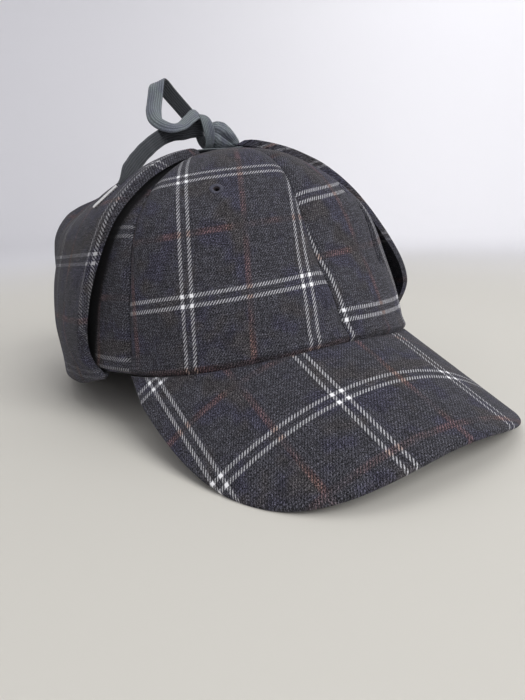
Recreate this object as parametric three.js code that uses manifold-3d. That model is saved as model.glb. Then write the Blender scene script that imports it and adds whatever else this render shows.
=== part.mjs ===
// A checked cloth cap with a stiff visor and one padded ear flap band, which is turned up round
// the crown and tied over its top with a flat cord.
//
// Millimetres, +Z up. The visor points to -Y and +X is the wearer's left. The cap lies on a flat
// surface at z = 0, on the two lower corners of its visor and the flap's fold at the back.
// Shapes are worked out in the cap's own frame, whose origin is the front of the rim, and are
// then leaned back into the resting pose.

import * as THREE from 'three';
import { mergeVertices } from 'three/addons/utils/BufferGeometryUtils.js';
import Module from 'manifold-3d';

const wasm = await Module();
wasm.setup();

// Crown
const RIM_HALF_WIDTH = 89.5;
const RIM_HALF_LENGTH = 103;
const RIM_SQUARENESS = 2.15;
const CROWN_HEIGHT = 95;
const CROWN_WALL = 2;
const SIDE_SEAM = 63;
const BACK_SEAM = 122;
const REAR_SEAM = 180;
const RIM_DROP_AT_BACK = 6;
const SEAM_DIP = 0.8;
const SEAM_DIP_REACH = 4;

// How far the crown reaches from its middle along each seam, as a share of the rim's reach
const CROWN_PROFILE = [
  { height: 0.00, front: 1.000, side: 1.000, back: 1.000, rear: 1.000 },
  { height: 0.20, front: 0.920, side: 0.975, back: 0.985, rear: 0.970 },
  { height: 0.40, front: 0.810, side: 0.930, back: 0.970, rear: 0.930 },
  { height: 0.60, front: 0.730, side: 0.860, back: 0.930, rear: 0.850 },
  { height: 0.78, front: 0.640, side: 0.690, back: 0.680, rear: 0.660 },
  { height: 0.90, front: 0.515, side: 0.470, back: 0.380, rear: 0.450 },
  { height: 0.97, front: 0.320, side: 0.240, back: 0.160, rear: 0.220 },
  { height: 1.00, front: 0.000, side: 0.000, back: 0.000, rear: 0.000 },
];
const PROFILE_ANGLES = [0, SIDE_SEAM, BACK_SEAM, REAR_SEAM];
const PROFILE_COLUMNS = ['front', 'side', 'back', 'rear'];

// Ventilation eyelets of the two front panels
const EYELET_ANGLE = 33;
const EYELET_HEIGHT = 0.73;
const EYELET_RADIUS = 1.4;
const EYELET_SIDES = 12;

// Visor: a stiff sheet bent round a cylinder that slopes down to the front
const VISOR_LENGTH = 63;
const VISOR_BEND_RADIUS = 110;
const VISOR_SLOPE = 27;
const VISOR_HALF_ARC = 92.5;
const VISOR_BACK_SWEEP = 47;
const VISOR_SQUARENESS = 2.65;
const VISOR_THICKNESS = 3.4;
const VISOR_TUCK = 1.7;

// Ear flap band: how far round from the front, how high it reaches up the crown, and how far
// its inner face stands off the crown low down, on the shoulder and at the top
const FLAP_THICKNESS = 4.2;
const FLAP_ROWS = [
  { around: 74, top: 0.985, low: 3.6, shoulder: 1.6, high: 0.6 },
  { around: 96, top: 0.978, low: 2.4, shoulder: 2.0, high: 0.8 },
  { around: 112, top: 0.900, low: 2.2, shoulder: 4.4, high: 1.4 },
  { around: 128, top: 0.740, low: 2.4, shoulder: 6.0, high: 2.4 },
  { around: 145, top: 0.650, low: 2.6, shoulder: 4.6, high: 3.0 },
  { around: 180, top: 0.620, low: 2.8, shoulder: 3.4, high: 3.4 },
  { around: 215, top: 0.650, low: 2.8, shoulder: 3.4, high: 3.0 },
  { around: 232, top: 0.740, low: 4.0, shoulder: 3.0, high: 2.4 },
  { around: 248, top: 0.900, low: 7.0, shoulder: 2.4, high: 2.4 },
  { around: 270, top: 0.980, low: 11.0, shoulder: 2.4, high: 3.6 },
  { around: 296, top: 0.988, low: 14.0, shoulder: 2.6, high: 4.6 },
];
const STAND_OFF_HEIGHTS = { rim: 0, low: 0.22, shoulder: 0.68, high: 0.95 };
// The flap's two front edges: their angles from the front at each height
const FLAP_FRONT = [
  { height: -0.07, right: 66, left: 66 },
  { height: -0.03, right: 67.5, left: 66 },
  { height: 0.00, right: 70, left: 66 },
  { height: 0.03, right: 74, left: 66 },
  { height: 0.08, right: 77, left: 65.5 },
  { height: 0.18, right: 75.5, left: 65 },
  { height: 0.34, right: 74, left: 64 },
  { height: 0.56, right: 69.5, left: 63 },
  { height: 0.80, right: 63, left: 62 },
  { height: 1.00, right: 60, left: 60 },
];
const FLAP_MIDDLE_HEIGHT = 0.34;
// The fold under the rim: each face's place out from the crown's face and up from its edge.
// The seat is how far off the crown the band's inner face starts.
const FLAP_SEAT = 0.7;
const FLAP_FOLD = [
  { innerOut: -1.8, innerUp: -0.3, outerOut: -1.8, outerUp: -3.2 },
  { innerOut: -0.9, innerUp: -0.4, outerOut: -0.9, outerUp: -6.0 },
  { innerOut: -0.2, innerUp: -0.4, outerOut: 0.6, outerUp: -6.8 },
  { innerOut: 0.4, innerUp: -0.4, outerOut: 1.8, outerUp: -7.0 },
  { innerOut: FLAP_SEAT, innerUp: -0.1, outerOut: 3.4, outerUp: -6.7 },
  { innerOut: FLAP_SEAT, innerUp: 0.6, outerOut: 4.7, outerUp: -4.8 },
  { innerOut: FLAP_SEAT, innerUp: 1.6, outerOut: 4.9, outerUp: -1.6 },
];

// Tie: a flat cord sewn to both flap tips and knotted between them, with one loop, and one end
// that lies on the flap. Places are in the cap's frame; turn says how far the cord's face turns
// away from its outlook.
const CORD_WIDTH = 8;
const CORD_THICKNESS = 1.4;
const CORD_OUTLOOK = new THREE.Vector3(-0.53, -0.85, 0);
const CORD_STEP = 4;
const KNOT_BODY = { x: 1, y: -3.2, z: 104.7, length: 20, depth: 13, height: 13.4, lean: 6 };
const KNOT_WRAP = { x: -10.5, y: -2, z: 105.7, length: 6, depth: 12.5, height: 18.2 };
const WRAP_PROFILE = [
  { along: -0.5, reach: 0 },
  { along: -0.5, reach: 0.72 },
  { along: -0.36, reach: 0.93 },
  { along: 0, reach: 1 },
  { along: 0.36, reach: 0.93 },
  { along: 0.5, reach: 0.72 },
  { along: 0.5, reach: 0 },
];
const TIE_BASE = [
  { x: -13.0, y: -5.2, z: 96.2 },
  { x: -7.0, y: -4.4, z: 96.6 },
  { x: 0.0, y: -3.6, z: 97.5 },
  { x: 7.0, y: -3.6, z: 98.8 },
  { x: 12.6, y: -3.8, z: 99.8 },
];
const TIE_BASE_TURNS = [
  { along: 0, turn: 90 },
  { along: 1, turn: 90 },
];
const TIE_LOOP = [
  { x: -15.9, y: -5.1, z: 110.8 },
  { x: -21.0, y: -6.5, z: 107.3 },
  { x: -28.1, y: -6.8, z: 103.8 },
  { x: -33.3, y: -4.1, z: 104.6 },
  { x: -35.3, y: 0.2, z: 109.7 },
  { x: -34.9, y: 3.4, z: 117.0 },
  { x: -31.3, y: 5.3, z: 124.3 },
  { x: -27.8, y: 6.6, z: 130.2 },
  { x: -24.7, y: 8.3, z: 133.3 },
  { x: -21.7, y: 10.5, z: 129.2 },
  { x: -17.0, y: 11.1, z: 123.4 },
  { x: -12.9, y: 8.5, z: 118.0 },
  { x: -12.0, y: 7.4, z: 115.4 },
];
const TIE_LOOP_TURNS = [
  { along: 0.00, turn: -15 },
  { along: 0.22, turn: -35 },
  { along: 0.42, turn: -45 },
  { along: 0.60, turn: -15 },
  { along: 0.70, turn: -75 },
  { along: 0.80, turn: -25 },
  { along: 1.00, turn: -15 },
];
const TIE_TAIL = [
  { x: -14.5, y: -0.4, z: 103.6 },
  { x: -18.9, y: 0.5, z: 103.4 },
  { x: -24.0, y: 0.7, z: 102.9 },
  { x: -29.1, y: -0.2, z: 101.7 },
  { x: -36.1, y: -4.2, z: 98.7 },
  { x: -43.3, y: -8.0, z: 94.9 },
  { x: -50.0, y: -12.0, z: 89.6 },
  { x: -56.6, y: -15.8, z: 84.4 },
  { x: -61.4, y: -18.4, z: 80.2 },
  { x: -65.6, y: -20.3, z: 76.4 },
];
const TIE_TAIL_TURNS = [
  { along: 0.00, turn: 150 },
  { along: 0.50, turn: 140 },
  { along: 0.85, turn: 130 },
  { along: 1.00, turn: 127 },
];
const AGLET_RADIUS = 1.1;
const AGLET_SIDES = 10;
const AGLET = [
  { x: -66.4, y: -20.6, z: 75.9 },
  { x: -77.9, y: -16.3, z: 66.6 },
];

const GAP = 0.3;

const radians = THREE.MathUtils.degToRad;

// Resting pose: the lean back, and the way from the front of the rim to the middle of the footprint
const REST_PITCH = radians(-5.1);
const REST_SHIFT = new THREE.Vector3(-4, 26.7, 29);

const CLOTH = { color: 0x3b3a3d, roughness: 0.95, metalness: 0 };
const TAPE = { color: 0x4f5654, roughness: 0.9, metalness: 0 };
const METAL = { color: 0xc9c9c6, roughness: 0.3, metalness: 1 };

const lerp = THREE.MathUtils.lerp;
const smoothstep = THREE.MathUtils.smoothstep;

// A smooth curve through a few values that never swings past them
function smoothThrough(places, values, at) {
  const last = places.length - 1;
  const place = THREE.MathUtils.clamp(at, places[0], places[last]);
  let i = 0;
  while (i < last - 1 && place > places[i + 1]) i += 1;
  const rise = (j) => (values[j + 1] - values[j]) / (places[j + 1] - places[j]);
  const slope = (j) => {
    if (j === 0) return rise(0);
    if (j === last) return rise(last - 1);
    const before = rise(j - 1);
    const after = rise(j);
    return before * after > 0 ? (2 * before * after) / (before + after) : 0;
  };
  const span = places[i + 1] - places[i];
  const s = (place - places[i]) / span;
  const step = s * s * (3 - 2 * s);
  const bends = slope(i) * s * (1 - s) ** 2 - slope(i + 1) * s * s * (1 - s);
  return lerp(values[i], values[i + 1], step) + span * bends;
}

function lookUp(rows, along, column, at) {
  return smoothThrough(rows.map((row) => row[along]), rows.map((row) => row[column]), at);
}

function wrapped(angle) {
  return ((((angle + 180) % 360) + 360) % 360) - 180;
}

// Plan of the rim at an angle from the front, counted towards the wearer's left
function rimPlan(angle) {
  const power = 2 / RIM_SQUARENESS;
  const sine = Math.sin(radians(angle));
  const cosine = Math.cos(radians(angle));
  const x = RIM_HALF_WIDTH * Math.sign(sine) * Math.abs(sine) ** power;
  const y = -RIM_HALF_LENGTH * Math.sign(cosine) * Math.abs(cosine) ** power;
  return new THREE.Vector2(x, y);
}

// Height of the visor's upper face over a place in plan
function visorHeight(plan) {
  const arch = Math.sqrt(VISOR_BEND_RADIUS ** 2 - plan.x ** 2) - VISOR_BEND_RADIUS;
  const ahead = -plan.y - RIM_HALF_LENGTH;
  return arch - ahead * Math.tan(radians(VISOR_SLOPE));
}

// The rim follows the visor in front and runs nearly level round the sides and back
function rimHeight(angle) {
  const turned = Math.abs(wrapped(angle));
  if (turned <= SIDE_SEAM) return visorHeight(rimPlan(angle));
  const end = visorHeight(rimPlan(SIDE_SEAM));
  return end - RIM_DROP_AT_BACK * smoothstep(turned, SIDE_SEAM, BACK_SEAM);
}

function profileReach(column, height) {
  const heights = CROWN_PROFILE.map((row) => row.height);
  const squares = CROWN_PROFILE.map((row) => row[column] ** 2);
  return Math.sqrt(Math.max(smoothThrough(heights, squares, height), 0));
}

// Outer face of the crown at an angle and a share of its height
function crownPoint(angle, height) {
  const turned = Math.abs(wrapped(angle));
  let seam = 0;
  while (seam < PROFILE_ANGLES.length - 2 && turned > PROFILE_ANGLES[seam + 1]) seam += 1;
  const blend = smoothstep(turned, PROFILE_ANGLES[seam], PROFILE_ANGLES[seam + 1]);
  const before = profileReach(PROFILE_COLUMNS[seam], height);
  const after = profileReach(PROFILE_COLUMNS[seam + 1], height);
  const plan = rimPlan(angle).multiplyScalar(lerp(before, after, blend));
  return new THREE.Vector3(plan.x, plan.y, lerp(rimHeight(angle), CROWN_HEIGHT, height));
}

// Directions on the crown's face: round the cap, and straight out of it
function crownAround(angle, height) {
  const turn = 0.25;
  return crownPoint(angle + turn, height).sub(crownPoint(angle - turn, height)).normalize();
}

function crownNormal(angle, height) {
  const step = 0.002;
  const low = crownPoint(angle, Math.max(height - step, 0));
  const high = crownPoint(angle, Math.min(height + step, 0.9999));
  return crownAround(angle, height).cross(high.sub(low)).normalize();
}

// Leans a point of the cap's own frame back into the resting pose; cloth that would sink into
// the surface is pressed flat on it
function settled(point) {
  const turned = point.clone().applyAxisAngle(new THREE.Vector3(1, 0, 0), REST_PITCH);
  turned.add(REST_SHIFT);
  turned.z = Math.max(turned.z, 0);
  return turned;
}

// A closed solid through sections: loops of equal length, each an outer face and then its inner
// face the other way, which the caps at both ends join
function loft(sections) {
  const count = sections[0].length;
  const points = sections.flat().map(settled);
  const index = [];
  for (let row = 0; row < sections.length - 1; row += 1) {
    for (let i = 0; i < count; i += 1) {
      const a = row * count + i;
      const b = row * count + ((i + 1) % count);
      index.push(a, b, b + count, a, b + count, a + count);
    }
  }
  const end = (sections.length - 1) * count;
  for (let i = 0; i < count / 2 - 1; i += 1) {
    const j = count - 1 - i;
    index.push(i, j, j - 1, i, j - 1, i + 1);
    index.push(end + i, end + j - 1, end + j, end + i, end + i + 1, end + j - 1);
  }
  const geometry = new THREE.BufferGeometry().setFromPoints(points);
  geometry.setIndex(index);
  return facingOut(geometry);
}

function facingOut(geometry) {
  const place = geometry.getAttribute('position');
  const index = Array.from(geometry.getIndex().array);
  const corner = (i) => new THREE.Vector3().fromBufferAttribute(place, index[i]);
  let volume = 0;
  for (let i = 0; i < index.length; i += 3) {
    volume += corner(i).dot(corner(i + 1).cross(corner(i + 2)));
  }
  if (volume < 0) index.reverse();
  geometry.setIndex(index);
  return geometry;
}

// Booleans on closed meshes
function toSolid(geometry) {
  const bare = geometry.clone();
  bare.deleteAttribute('normal');
  bare.deleteAttribute('uv');
  const merged = mergeVertices(bare, 1e-4);
  return new wasm.Manifold(new wasm.Mesh({
    numProp: 3,
    vertProperties: new Float32Array(merged.getAttribute('position').array),
    triVerts: new Uint32Array(merged.getIndex().array),
  }));
}

function toGeometry(solid) {
  const mesh = solid.getMesh();
  const geometry = new THREE.BufferGeometry();
  geometry.setAttribute('position', new THREE.BufferAttribute(mesh.vertProperties, 3));
  geometry.setIndex(new THREE.BufferAttribute(mesh.triVerts, 1));
  return geometry;
}

function piece(name, geometry, finish) {
  geometry.computeVertexNormals();
  const mesh = new THREE.Mesh(geometry, new THREE.MeshStandardMaterial(finish));
  mesh.name = name;
  return mesh;
}

// Crown panels: cloth walls between two seams, dipped a little where they are sewn
const PANEL_STEPS = [0, 0.05, 0.14, 0.26, 0.38, 0.5, 0.62, 0.74, 0.86, 0.95, 1];
const PANEL_RISES = [0, 0.06, 0.14, 0.22, 0.3, 0.38, 0.46, 0.54, 0.62, 0.7, 0.78, 0.86, 0.94, 0.99];

function seamDip(step, width, height) {
  const away = Math.min(step, 1 - step) * width;
  const fade = smoothstep(height, 0, 0.1) * (1 - smoothstep(height, 0.9, 0.99));
  return SEAM_DIP * fade * Math.exp(-((away / SEAM_DIP_REACH) ** 2));
}

function panelSection(from, to, step) {
  const angle = lerp(from, to, step);
  const outer = [];
  const inner = [];
  for (const rise of PANEL_RISES) {
    const height = Math.sin(rise * Math.PI / 2);
    const normal = crownNormal(angle, height);
    const width = crownPoint(from, height).distanceTo(crownPoint(to, height));
    const point = crownPoint(angle, height);
    point.addScaledVector(crownAround(angle, height), (0.5 - step) * GAP);
    point.addScaledVector(normal, -seamDip(step, width, height));
    outer.push(point);
    if (rise === 0) normal.setZ(0).normalize();
    inner.push(point.clone().addScaledVector(normal, -CROWN_WALL));
  }
  return [...outer, ...inner.reverse()];
}

function crownPanel(from, to) {
  return loft(PANEL_STEPS.map((step) => panelSection(from, to, step)));
}

function eyeletPunch(angle) {
  const length = 8 * CROWN_WALL;
  const punch = new THREE.CylinderGeometry(EYELET_RADIUS, EYELET_RADIUS, length, EYELET_SIDES);
  const along = crownNormal(angle, EYELET_HEIGHT).applyAxisAngle(new THREE.Vector3(1, 0, 0), REST_PITCH);
  punch.applyQuaternion(new THREE.Quaternion().setFromUnitVectors(new THREE.Vector3(0, 1, 0), along));
  const centre = settled(crownPoint(angle, EYELET_HEIGHT));
  return punch.translate(centre.x, centre.y, centre.z);
}

function punchedPanel(from, to, eyeletAngle) {
  const panel = toSolid(crownPanel(from, to));
  return toGeometry(panel.subtract(toSolid(eyeletPunch(eyeletAngle))));
}

// Visor
const VISOR_STEPS = 32;
const VISOR_RUNS = [0, 0.12, 0.3, 0.5, 0.7, 0.86, 0.95, 0.985, 1];
const VISOR_EDGE = [
  { inFromEdge: 0, thickness: 0.35 },
  { inFromEdge: 0.015, thickness: 0.85 },
  { inFromEdge: 0.05, thickness: 1 },
  { inFromEdge: 1, thickness: 1 },
];

// Place on the sheet before it is bent: arc across, and run down the slope from the rim's front
function visorSheet(plan) {
  const arc = VISOR_BEND_RADIUS * Math.asin(plan.x / VISOR_BEND_RADIUS);
  const run = (-plan.y - RIM_HALF_LENGTH) / Math.cos(radians(VISOR_SLOPE));
  return new THREE.Vector2(arc, run);
}

function visorOutline(across) {
  const power = 2 / VISOR_SQUARENESS;
  const turn = across * Math.PI / 2;
  const arc = VISOR_HALF_ARC * Math.sign(across) * Math.abs(Math.sin(turn)) ** power;
  const reach = (VISOR_LENGTH + VISOR_BACK_SWEEP) * Math.abs(Math.cos(turn)) ** power;
  return new THREE.Vector2(arc, reach - VISOR_BACK_SWEEP);
}

function visorPoint(sheet) {
  const bend = sheet.x / VISOR_BEND_RADIUS;
  const slope = radians(VISOR_SLOPE);
  const x = VISOR_BEND_RADIUS * Math.sin(bend);
  const y = -RIM_HALF_LENGTH - sheet.y * Math.cos(slope);
  const z = VISOR_BEND_RADIUS * (Math.cos(bend) - 1) - sheet.y * Math.sin(slope) - GAP;
  return new THREE.Vector3(x, y, z);
}

function visorNormal(sheet) {
  const bend = sheet.x / VISOR_BEND_RADIUS;
  const slope = radians(VISOR_SLOPE);
  const x = Math.sin(bend) * Math.cos(slope);
  const y = -Math.cos(bend) * Math.sin(slope);
  return new THREE.Vector3(x, y, Math.cos(bend) * Math.cos(slope)).normalize();
}

function visorSection(across) {
  const rim = rimPlan(across * SIDE_SEAM);
  const start = visorSheet(rim);
  const end = visorOutline(across);
  const sideEdge = lookUp(VISOR_EDGE, 'inFromEdge', 'thickness', 1 - Math.abs(across));
  const upper = [];
  const under = [];
  const add = (top, normal, share) => {
    const middle = top.clone().addScaledVector(normal, -VISOR_THICKNESS / 2);
    upper.push(middle.clone().addScaledVector(normal, share * VISOR_THICKNESS / 2));
    under.push(middle.clone().addScaledVector(normal, -share * VISOR_THICKNESS / 2));
  };
  const tucked = rim.clone().setLength(rim.length() - VISOR_TUCK);
  const rimTop = visorPoint(start);
  add(new THREE.Vector3(tucked.x, tucked.y, rimTop.z), visorNormal(start), sideEdge);
  for (const run of VISOR_RUNS) {
    const sheet = start.clone().lerp(end, run);
    const frontEdge = lookUp(VISOR_EDGE, 'inFromEdge', 'thickness', 1 - run);
    add(visorPoint(sheet), visorNormal(sheet), Math.min(frontEdge, sideEdge));
  }
  return [...upper, ...under.reverse()];
}

function visor() {
  const steps = [-1, -0.985];
  for (let i = 1; i < VISOR_STEPS; i += 1) steps.push(-1 + (2 * i) / VISOR_STEPS);
  steps.push(0.985, 1);
  return loft(steps.map(visorSection));
}

// Ear flap band
const FLAP_RISES = [0.03, 0.06, 0.1, 0.15, 0.2, 0.3, 0.4, 0.5, 0.6, 0.68, 0.76, 0.84, 0.92, 0.975, 0.992, 1];
const FLAP_STEPS = [0, 0.1, 0.2, 0.3, 0.4, 0.5, 0.6, 0.7, 0.78, 0.84, 0.9, 0.95, 0.982, 0.994, 1];
const FLAP_EDGE = [
  { inFromEdge: 0, thickness: 0.3 },
  { inFromEdge: 0.006, thickness: 0.8 },
  { inFromEdge: 0.02, thickness: 1 },
  { inFromEdge: 1, thickness: 1 },
];

// How far round a share of the band's half lies, from the back to either front edge
function flapAround(half, height) {
  const front = lookUp(FLAP_FRONT, 'height', half < 0 ? 'right' : 'left', height);
  return 180 + half * (180 - front);
}

function flapSection(half) {
  const around = flapAround(half, FLAP_MIDDLE_HEIGHT);
  const top = lookUp(FLAP_ROWS, 'around', 'top', around);
  const standOffs = [FLAP_SEAT];
  for (const column of ['low', 'shoulder', 'high']) {
    standOffs.push(lookUp(FLAP_ROWS, 'around', column, around));
  }
  const sideEdge = lookUp(FLAP_EDGE, 'inFromEdge', 'thickness', 1 - Math.abs(half));
  const outer = [];
  const inner = [];
  for (const row of FLAP_FOLD) {
    const angle = -flapAround(half, row.outerUp / CROWN_HEIGHT);
    const out = crownNormal(angle, 0).setZ(0).normalize();
    const edge = crownPoint(angle, 0);
    const innerPoint = edge.clone().addScaledVector(out, row.innerOut);
    innerPoint.z += row.innerUp;
    const outerPoint = edge.clone().addScaledVector(out, row.outerOut);
    outerPoint.z += row.outerUp;
    inner.push(innerPoint);
    outer.push(outerPoint.lerp(innerPoint, (1 - sideEdge) / 2));
  }
  for (const rise of FLAP_RISES) {
    const height = rise * top;
    const angle = -flapAround(half, height);
    const normal = crownNormal(angle, height);
    const gap = smoothThrough(Object.values(STAND_OFF_HEIGHTS), standOffs, height);
    const topEdge = lookUp(FLAP_EDGE, 'inFromEdge', 'thickness', 1 - rise);
    const spread = Math.min(topEdge, sideEdge) * FLAP_THICKNESS / 2;
    const middle = crownPoint(angle, height).addScaledVector(normal, gap + FLAP_THICKNESS / 2);
    outer.push(middle.clone().addScaledVector(normal, spread));
    inner.push(middle.clone().addScaledVector(normal, -spread));
  }
  return [...outer, ...inner.reverse()];
}

function earFlap() {
  const oneHalf = FLAP_STEPS.slice(1);
  const halves = [...oneHalf.map((step) => -step).reverse(), ...FLAP_STEPS];
  return loft(halves.map(flapSection));
}

// Tie
function capPoint(row) {
  return settled(new THREE.Vector3(row.x, row.y, row.z));
}

function leaned(geometry) {
  return geometry.rotateX(REST_PITCH).translate(REST_SHIFT.x, REST_SHIFT.y, REST_SHIFT.z);
}

// Frames along the cord whose normals lie across its width
function cordFrames(path, count, turns) {
  const frames = { tangents: [], normals: [], binormals: [] };
  for (let i = 0; i <= count; i += 1) {
    const tangent = path.getTangentAt(i / count);
    const outward = CORD_OUTLOOK.clone().projectOnPlane(tangent).normalize();
    const sideways = tangent.clone().cross(outward);
    const turn = radians(lookUp(turns, 'along', 'turn', i / count));
    const normal = sideways.multiplyScalar(Math.cos(turn)).addScaledVector(outward, Math.sin(turn));
    frames.tangents.push(tangent);
    frames.normals.push(normal);
    frames.binormals.push(tangent.clone().cross(normal));
  }
  return frames;
}

function cord(rows, turns) {
  const path = new THREE.CatmullRomCurve3(rows.map(capPoint));
  path.computeFrenetFrames = (count) => cordFrames(path, count, turns);
  const half = CORD_WIDTH / 2;
  const flat = half - CORD_THICKNESS / 2;
  const face = CORD_THICKNESS / 2;
  const edge = CORD_THICKNESS / 4;
  const section = new THREE.Shape([
    new THREE.Vector2(half, -edge),
    new THREE.Vector2(half, edge),
    new THREE.Vector2(flat, face),
    new THREE.Vector2(-flat, face),
    new THREE.Vector2(-half, edge),
    new THREE.Vector2(-half, -edge),
    new THREE.Vector2(-flat, -face),
    new THREE.Vector2(flat, -face),
  ]);
  const steps = Math.round(path.getLength() / CORD_STEP);
  return new THREE.ExtrudeGeometry(section, { steps, extrudePath: path, bevelEnabled: false });
}

function tieKnot() {
  const body = new THREE.SphereGeometry(0.5, 16, 10);
  body.scale(KNOT_BODY.length, KNOT_BODY.depth, KNOT_BODY.height).rotateY(radians(KNOT_BODY.lean));
  body.translate(KNOT_BODY.x, KNOT_BODY.y, KNOT_BODY.z);
  const profile = WRAP_PROFILE.map((row) => new THREE.Vector2(row.reach / 2, row.along));
  const wrap = new THREE.LatheGeometry(profile, 20).rotateZ(-Math.PI / 2);
  wrap.scale(KNOT_WRAP.length, KNOT_WRAP.depth, KNOT_WRAP.height);
  wrap.translate(KNOT_WRAP.x, KNOT_WRAP.y, KNOT_WRAP.z);
  const lump = toSolid(leaned(body)).add(toSolid(leaned(wrap)));
  return toGeometry(lump.add(toSolid(cord(TIE_BASE, TIE_BASE_TURNS))));
}

function aglet() {
  const [start, end] = AGLET.map(capPoint);
  const along = end.clone().sub(start);
  const geometry = new THREE.CylinderGeometry(AGLET_RADIUS, AGLET_RADIUS, along.length(), AGLET_SIDES);
  const upright = new THREE.Vector3(0, 1, 0);
  geometry.applyQuaternion(new THREE.Quaternion().setFromUnitVectors(upright, along.normalize()));
  const middle = start.lerp(end, 0.5);
  return geometry.translate(middle.x, middle.y, middle.z);
}

const cap = new THREE.Group();
cap.add(piece('crown_panel_front_right', punchedPanel(-SIDE_SEAM, 0, -EYELET_ANGLE), CLOTH));
cap.add(piece('crown_panel_front_left', punchedPanel(0, SIDE_SEAM, EYELET_ANGLE), CLOTH));
cap.add(piece('crown_panel_side_right', crownPanel(-BACK_SEAM, -SIDE_SEAM), CLOTH));
cap.add(piece('crown_panel_side_left', crownPanel(SIDE_SEAM, BACK_SEAM), CLOTH));
cap.add(piece('crown_panel_back_right', crownPanel(-REAR_SEAM, -BACK_SEAM), CLOTH));
cap.add(piece('crown_panel_back_left', crownPanel(BACK_SEAM, REAR_SEAM), CLOTH));
cap.add(piece('visor', visor(), CLOTH));
cap.add(piece('ear_flap', earFlap(), CLOTH));
cap.add(piece('tie_knot', tieKnot(), TAPE));
cap.add(piece('tie_loop', cord(TIE_LOOP, TIE_LOOP_TURNS), TAPE));
cap.add(piece('tie_tail', cord(TIE_TAIL, TIE_TAIL_TURNS), TAPE));
cap.add(piece('tie_aglet', aglet(), METAL));

export default cap;
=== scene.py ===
"""A checked cloth cap with a stiff visor and a padded ear flap band that is tied up over its crown.

Laid out as an add-on and run as a script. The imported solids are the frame, and each piece made here
stands where its solid stands: the visor points to -Y, +X is the wearer's left, and the cap lies on
the surface z = 0. Shapes are worked out in the cap's own frame, whose origin is the front of the
rim, and are then leaned back into the resting pose. Lengths are metres.
"""

import math

import bpy
import numpy as np
from bpy.props import FloatProperty, FloatVectorProperty, IntProperty, PointerProperty
from mathutils import Matrix, Vector, noise


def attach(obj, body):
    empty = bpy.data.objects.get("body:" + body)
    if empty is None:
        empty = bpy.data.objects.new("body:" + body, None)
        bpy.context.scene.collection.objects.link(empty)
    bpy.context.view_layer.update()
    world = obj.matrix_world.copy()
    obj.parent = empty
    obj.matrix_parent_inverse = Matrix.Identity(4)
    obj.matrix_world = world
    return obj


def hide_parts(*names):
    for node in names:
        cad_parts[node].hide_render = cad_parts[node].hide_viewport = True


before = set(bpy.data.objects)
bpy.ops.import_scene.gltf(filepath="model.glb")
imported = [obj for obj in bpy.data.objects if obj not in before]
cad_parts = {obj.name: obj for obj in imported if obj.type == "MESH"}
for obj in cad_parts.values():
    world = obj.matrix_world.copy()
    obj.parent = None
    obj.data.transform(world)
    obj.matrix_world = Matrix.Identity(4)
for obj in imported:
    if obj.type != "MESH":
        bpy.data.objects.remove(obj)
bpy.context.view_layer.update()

bl_info = {
    "name": "Tied-up Trooper Cap",
    "version": (1, 0, 0),
    "blender": (4, 5, 0),
    "location": "3D View > Sidebar > Cap",
    "description": "Dresses a trooper cap in checked cloth, with a padded flap band and a flat tie",
    "category": "Mesh",
}

MM = 0.001
BODY = "root"
# Attributes of painted shade: where white threads are dimmed low on the flap band, and where the cloth is
# darkened deep in a fold or gap
WHITES_SHADE = "worn"
SHADE = "shade"
# Sizes of the cloth's grains and patches, and the shares to which some grains are drawn out along the
# twill's ridges and along single threads
FLECK = 0.3 * MM
FINE = 0.38 * MM
SLUB = 0.7 * MM
SLATE_PATCH = 16 * MM
PEAT_PATCH = 23 * MM
RIDGE_DRAW = 0.45
THREAD_DRAW = 0.1
# Where the tape's side that takes painted shade starts in its UV map, in widths, and the angle past which
# its edges are sharp
SHADED_SIDE = 3
TAPE_CREASE = 60

# Seams of the crown, in degrees from the front, and how far the crown reaches along each of them
# as a share of the rim's reach
FRONT_SEAM = 0
SIDE_SEAM = 63
BACK_SEAM = 122
REAR_SEAM = 180
SEAM_ANGLES = (FRONT_SEAM, SIDE_SEAM, BACK_SEAM, REAR_SEAM)
# The crown's top, a hair short of the point where its panels meet
NEAR_TOP = 0.9999
PROFILE_HEIGHTS = (0.00, 0.20, 0.40, 0.60, 0.78, 0.90, 0.97, 1.00)
PROFILE_REACHES = (
    (1.000, 0.920, 0.810, 0.730, 0.640, 0.515, 0.320, 0.000),
    (1.000, 0.975, 0.930, 0.860, 0.690, 0.470, 0.240, 0.000),
    (1.000, 0.985, 0.970, 0.930, 0.680, 0.380, 0.160, 0.000),
    (1.000, 0.970, 0.930, 0.850, 0.660, 0.450, 0.220, 0.000),
)
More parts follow.
